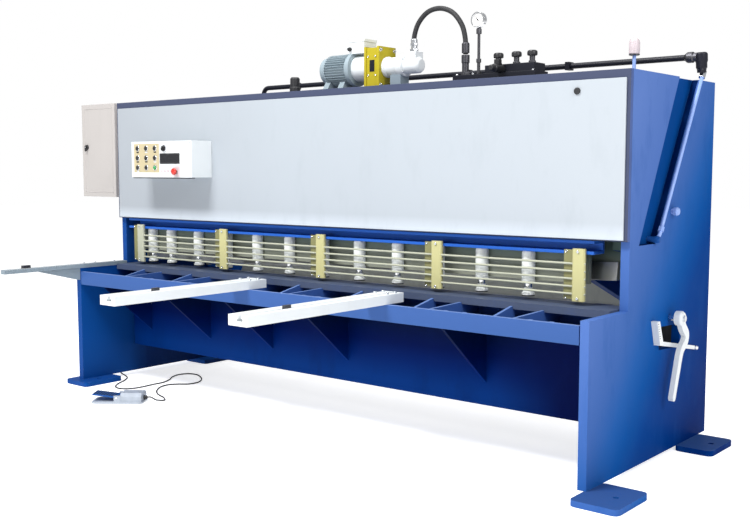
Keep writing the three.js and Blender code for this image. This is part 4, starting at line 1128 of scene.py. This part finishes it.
def gap_lever():
    x, y, z = joint_place("gap_lever_turn")
    x0, x1 = x + 10, x + 32
    shape = Shape(M_WHITE, M_BRIGHT)
    spine = curve_through([(0, y, z), (0, y + 26, z - 44), (0, y + 60, z - 80), (0, y + 52, z - 112),
                           (0, y + 9, z - 146), (0, y - 29, z - 240), (0, y - 68, z - 350)], 6)
    left, right = [], []
    for i, point in enumerate(spine):
        along = (spine[min(i + 1, len(spine) - 1)] - spine[max(i - 1, 0)]).normalized()
        across = Vector((0, -along.z, along.y))
        half = 22 - 6 * i / len(spine)
        left.append(point + across * half)
        right.append(point - across * half)
    tip_turn = atan2(along.z, along.y)
    tip = [spine[-1] + Vector((0, cos(tip_turn + a) * half, sin(tip_turn + a) * half))
           for a in (pi / 2 - pi * i / 8 for i in range(1, 8))]
    outline = [(p.y, p.z) for p in [*right, *reversed(tip), *reversed(left)]]
    shape.plate("x", outline, x0, x1)
    shape.lathe((x0 - 6, y, z), RIGHT, [(0, 33), (26, 33), (34, 27)], 40)
    shape.use(1).lathe((LEVER.x0, y, z), RIGHT, [(0, 14), (x1 + 14 - LEVER.x0, 14)], 28)
    shape.hexagon((x1 - 2, y, z), RIGHT, 30, 12)
    shape.piece("gap_lever_forged", body="gap_lever", bevel=6, segments=4, replaces=["gap_lever"])


def gap_scale():
    span = Span("gap_scale")
    x0 = span.x0
    shape = Shape(M_WHITE, M_BRIGHT, M_BLACK_PLASTIC)
    plate = [(250, 646), (278, 646), (316, 552), (312, 536), (286, 536)]
    shape.plate("x", [(MIDDLE.y + a, b) for a, b in plate], x0, x0 + 30)
    bar = [(290, 536), (300, 554), (736, 474), (734, 456)]
    shape.plate("x", [(MIDDLE.y + a, b) for a, b in bar], x0, x0 + 13)
    shape.use(2)
    for i in range(7):
        share = i / 6
        a, b = 262 + 24 * share, 634 - 66 * share
        shape.box(x0 + 29.6, x0 + 30.4, MIDDLE.y + a - 6, MIDDLE.y + a + 6, b - 1.2, b + 1.2)
    shape.use(1).lathe((x0, MIDDLE.y + 728, 466), RIGHT, [(0, 11), (16, 11), (20, 10), (24, 7)], 28)
    shape.piece("gap_scale_plate", bevel=2, replaces=["gap_scale"])


gap_lever()
gap_scale()

# ---------------------------------------------------------------- foot switch
PEDAL_MATRIX = Matrix.Translation(PEDAL) @ Matrix.Rotation(PEDAL_TURN, 4, "Z")


def foot_switch_base():
    shape = Shape(M_SWITCH, M_RUBBER, M_BRIGHT)
    plate = [(-131, -68), (131, -68), (145, -54), (145, 54), (131, 68), (-131, 68), (-145, 54), (-145, -54)]
    shape.plate("z", plate, 2, 12)
    shape.use(1)
    for x, y in product((-120, 120), (-46, 46)):
        shape.lathe((x, y, 0), UP, [(0, 12), (3, 13)], 24)
    shape.use(0).plate("x", [(-62, 10), (62, 10), (62, 40), (40, 58), (-40, 58), (-62, 40)], 18, 138)
    shape.box(-16, 24, -64, -54, 8, 46)
    shape.box(-16, 24, 54, 64, 8, 46)
    shape.use(2)
    for y in (-64, 64):
        shape.lathe((0, y, 34), (0, 1 if y > 0 else -1, 0), [(-2, 6), (2, 6)], 20)
    for x, y in product((34, 122), (-30, 30)):
        shape.cap_screw((x, y, 58), UP, 4, 2)
    shape.use(1).lathe((136, 0, 26), RIGHT, [(0, 12), (6, 12), (8, 10), (22, 9)], 24)
    shape.turned(PEDAL_MATRIX)
    shape.piece("foot_switch_housing", bevel=2.5, segments=3, replaces=["foot_switch_base"])


def foot_treadle():
    slope = Matrix.Rotation(0.12, 4, "Y")
    shape = Shape(M_BLUE, M_RUBBER, M_BRIGHT)
    shape.box(-142, -6, -50, 50, -5, 3)
    shape.use(1)
    for i in range(9):
        x = -136 + 14 * i
        shape.box(x, x + 7, -46, 46, 2.5, 5)
    shape.turned(Matrix.Translation((0, 0, 34)) @ slope)
    shape.use(2).lathe((0, -53.4, 34), (0, 1, 0), [(0, 6), (106.8, 6)], 24)
    shape.turned(PEDAL_MATRIX)
    shape.piece("foot_treadle_ribbed", body="foot_treadle", bevel=1.5, replaces=["foot_treadle"])


def cable_conduit():
    span = Span("cable_conduit")
    gland = CABLE_GLAND
    shape = Shape(M_GREY, M_BRIGHT, M_RUBBER)
    shape.lathe((gland.x, gland.y, gland.z + 30), UP, [(0, 12), (span.z1 - gland.z - 30, 12)], 28)
    shape.use(1).hexagon((gland.x, gland.y, gland.z + 20), UP, 28, 22)
    shape.use(0)
    for z in (300, 700, 1050):
        shape.box(gland.x - 15, PANEL.x0 - GAP, gland.y - 18, gland.y + 18, z - 12, z + 12)
    shape.use(2).sleeve(gland, UP, [(0, 4.4), (0, 6.5), (8, 8), (22, 10), (22, 4.4)], 24)
    shape.piece("conduit_tube", bevel=1.2, replaces=["cable_conduit"])


foot_switch_base()
foot_treadle()
cable_conduit()

# ---------------------------------------------------------------- small fittings
def small_fittings():
    shape = Shape(M_PIPE_BLUE, M_BLACK_PLASTIC, M_PINK, M_DARK_STEEL)
    knob = from_middle(1725, 441, 1121)
    shape.lathe(knob, RIGHT, [(0, 12), (6, 12), (10, 17), (26, 19), (34, 14)], 36)
    lock = from_middle(1485, -8, 1638)
    shape.use(1).lathe(lock, FRONT, [(0, 15), (5, 15), (8, 12)], 32)
    stem = from_middle(1580, 330, TOP - 4)
    shape.use(0).lathe(stem, UP, [(0, 14), (6, 14), (6, 8), (94, 8)], 28)
    shape.use(3).lathe(stem, UP, [(92, 18), (94, 24), (98, 24)], 28)
    shape.use(2).lathe(stem, UP, [(98, 21), (101, 24), (150, 24), (162, 19), (168, 10)], 32)
    shape.piece("plate_knob_lock_and_signal_cap", bevel=1)


def table_screws():
    """A row of screw heads let into the table top."""
    shape = Shape(M_DARK_STEEL)
    for i in range(16):
        x = MIDDLE.x - 1500 + 200 * i
        shape.cap_screw((x, MIDDLE.y + 60, TABLE.z1 - 7.6), UP, 8, 8)
    shape.piece("table_screws", bevel=0.6)


small_fittings()
table_screws()

# ---------------------------------------------------------------- floor, world and lights
def studio():
    scene = bpy.context.scene
    scene.view_settings.view_transform = "Standard"
    bpy.ops.mesh.primitive_plane_add(size=60, location=(0, 0, -0.0005))
    floor = bpy.context.object
    floor.name = "floor"
    nodes = Nodes("floor_paper")
    nodes.surface("Base Color", nodes.mix(nodes.noise(2, 3), (0.86, 0.86, 0.86), (0.9, 0.9, 0.9)))
    nodes.surface("Roughness", 0.9)
    nodes.surface("Specular IOR Level", 0.0)
    nodes.surface("Emission Color", (1, 1, 1))
    seen = nodes.tree.nodes.new("ShaderNodeLightPath").outputs["Is Camera Ray"]
    nodes.surface("Emission Strength", nodes.remap(seen, 0, 1, 0.25, 0.62))
    floor.data.materials.append(nodes.material)

    world = bpy.data.worlds.new("studio")
    world.use_nodes = True
    tree = world.node_tree
    background = tree.nodes["Background"]
    background.inputs["Color"].default_value = (0.97, 0.985, 1.0, 1)
    background.inputs["Strength"].default_value = 0.45
    white = tree.nodes.new("ShaderNodeBackground")
    white.inputs["Color"].default_value = (1, 1, 1, 1)
    white.inputs["Strength"].default_value = 1.0
    path = tree.nodes.new("ShaderNodeLightPath")
    mix = tree.nodes.new("ShaderNodeMixShader")
    tree.links.new(path.outputs["Is Camera Ray"], mix.inputs["Fac"])
    tree.links.new(background.outputs["Background"], mix.inputs[1])
    tree.links.new(white.outputs["Background"], mix.inputs[2])
    tree.links.new(mix.outputs["Shader"], tree.nodes["World Output"].inputs["Surface"])
    scene.world = world


def area_light(name, place, target, size, power, colour=(1, 1, 1)):
    """A soft box; place, target and size are in metres and power in watts."""
    data = bpy.data.lights.new(name, "AREA")
    data.shape = "RECTANGLE"
    data.size, data.size_y = size
    data.energy = power
    data.color = colour
    light = bpy.data.objects.new(name, data)
    bpy.context.scene.collection.objects.link(light)
    light.location = place
    light.rotation_euler = (Vector(target) - Vector(place)).to_track_quat("-Z", "Y").to_euler()


studio()
area_light("key", (-0.6, -4.2, 7.0), (0, 0, 1.0), (3.0, 1.2), 590)
area_light("side", (6.5, -1.5, 4.2), (1.8, 0.2, 1.2), (2.4, 2.4), 190)
area_light("top", (0, 1.0, 6.5), (0, 0.5, 1.0), (5, 3), 160)
area_light("front", (0.3, -6.5, 0.9), (0, 0, 0.85), (4.0, 0.8), 75)
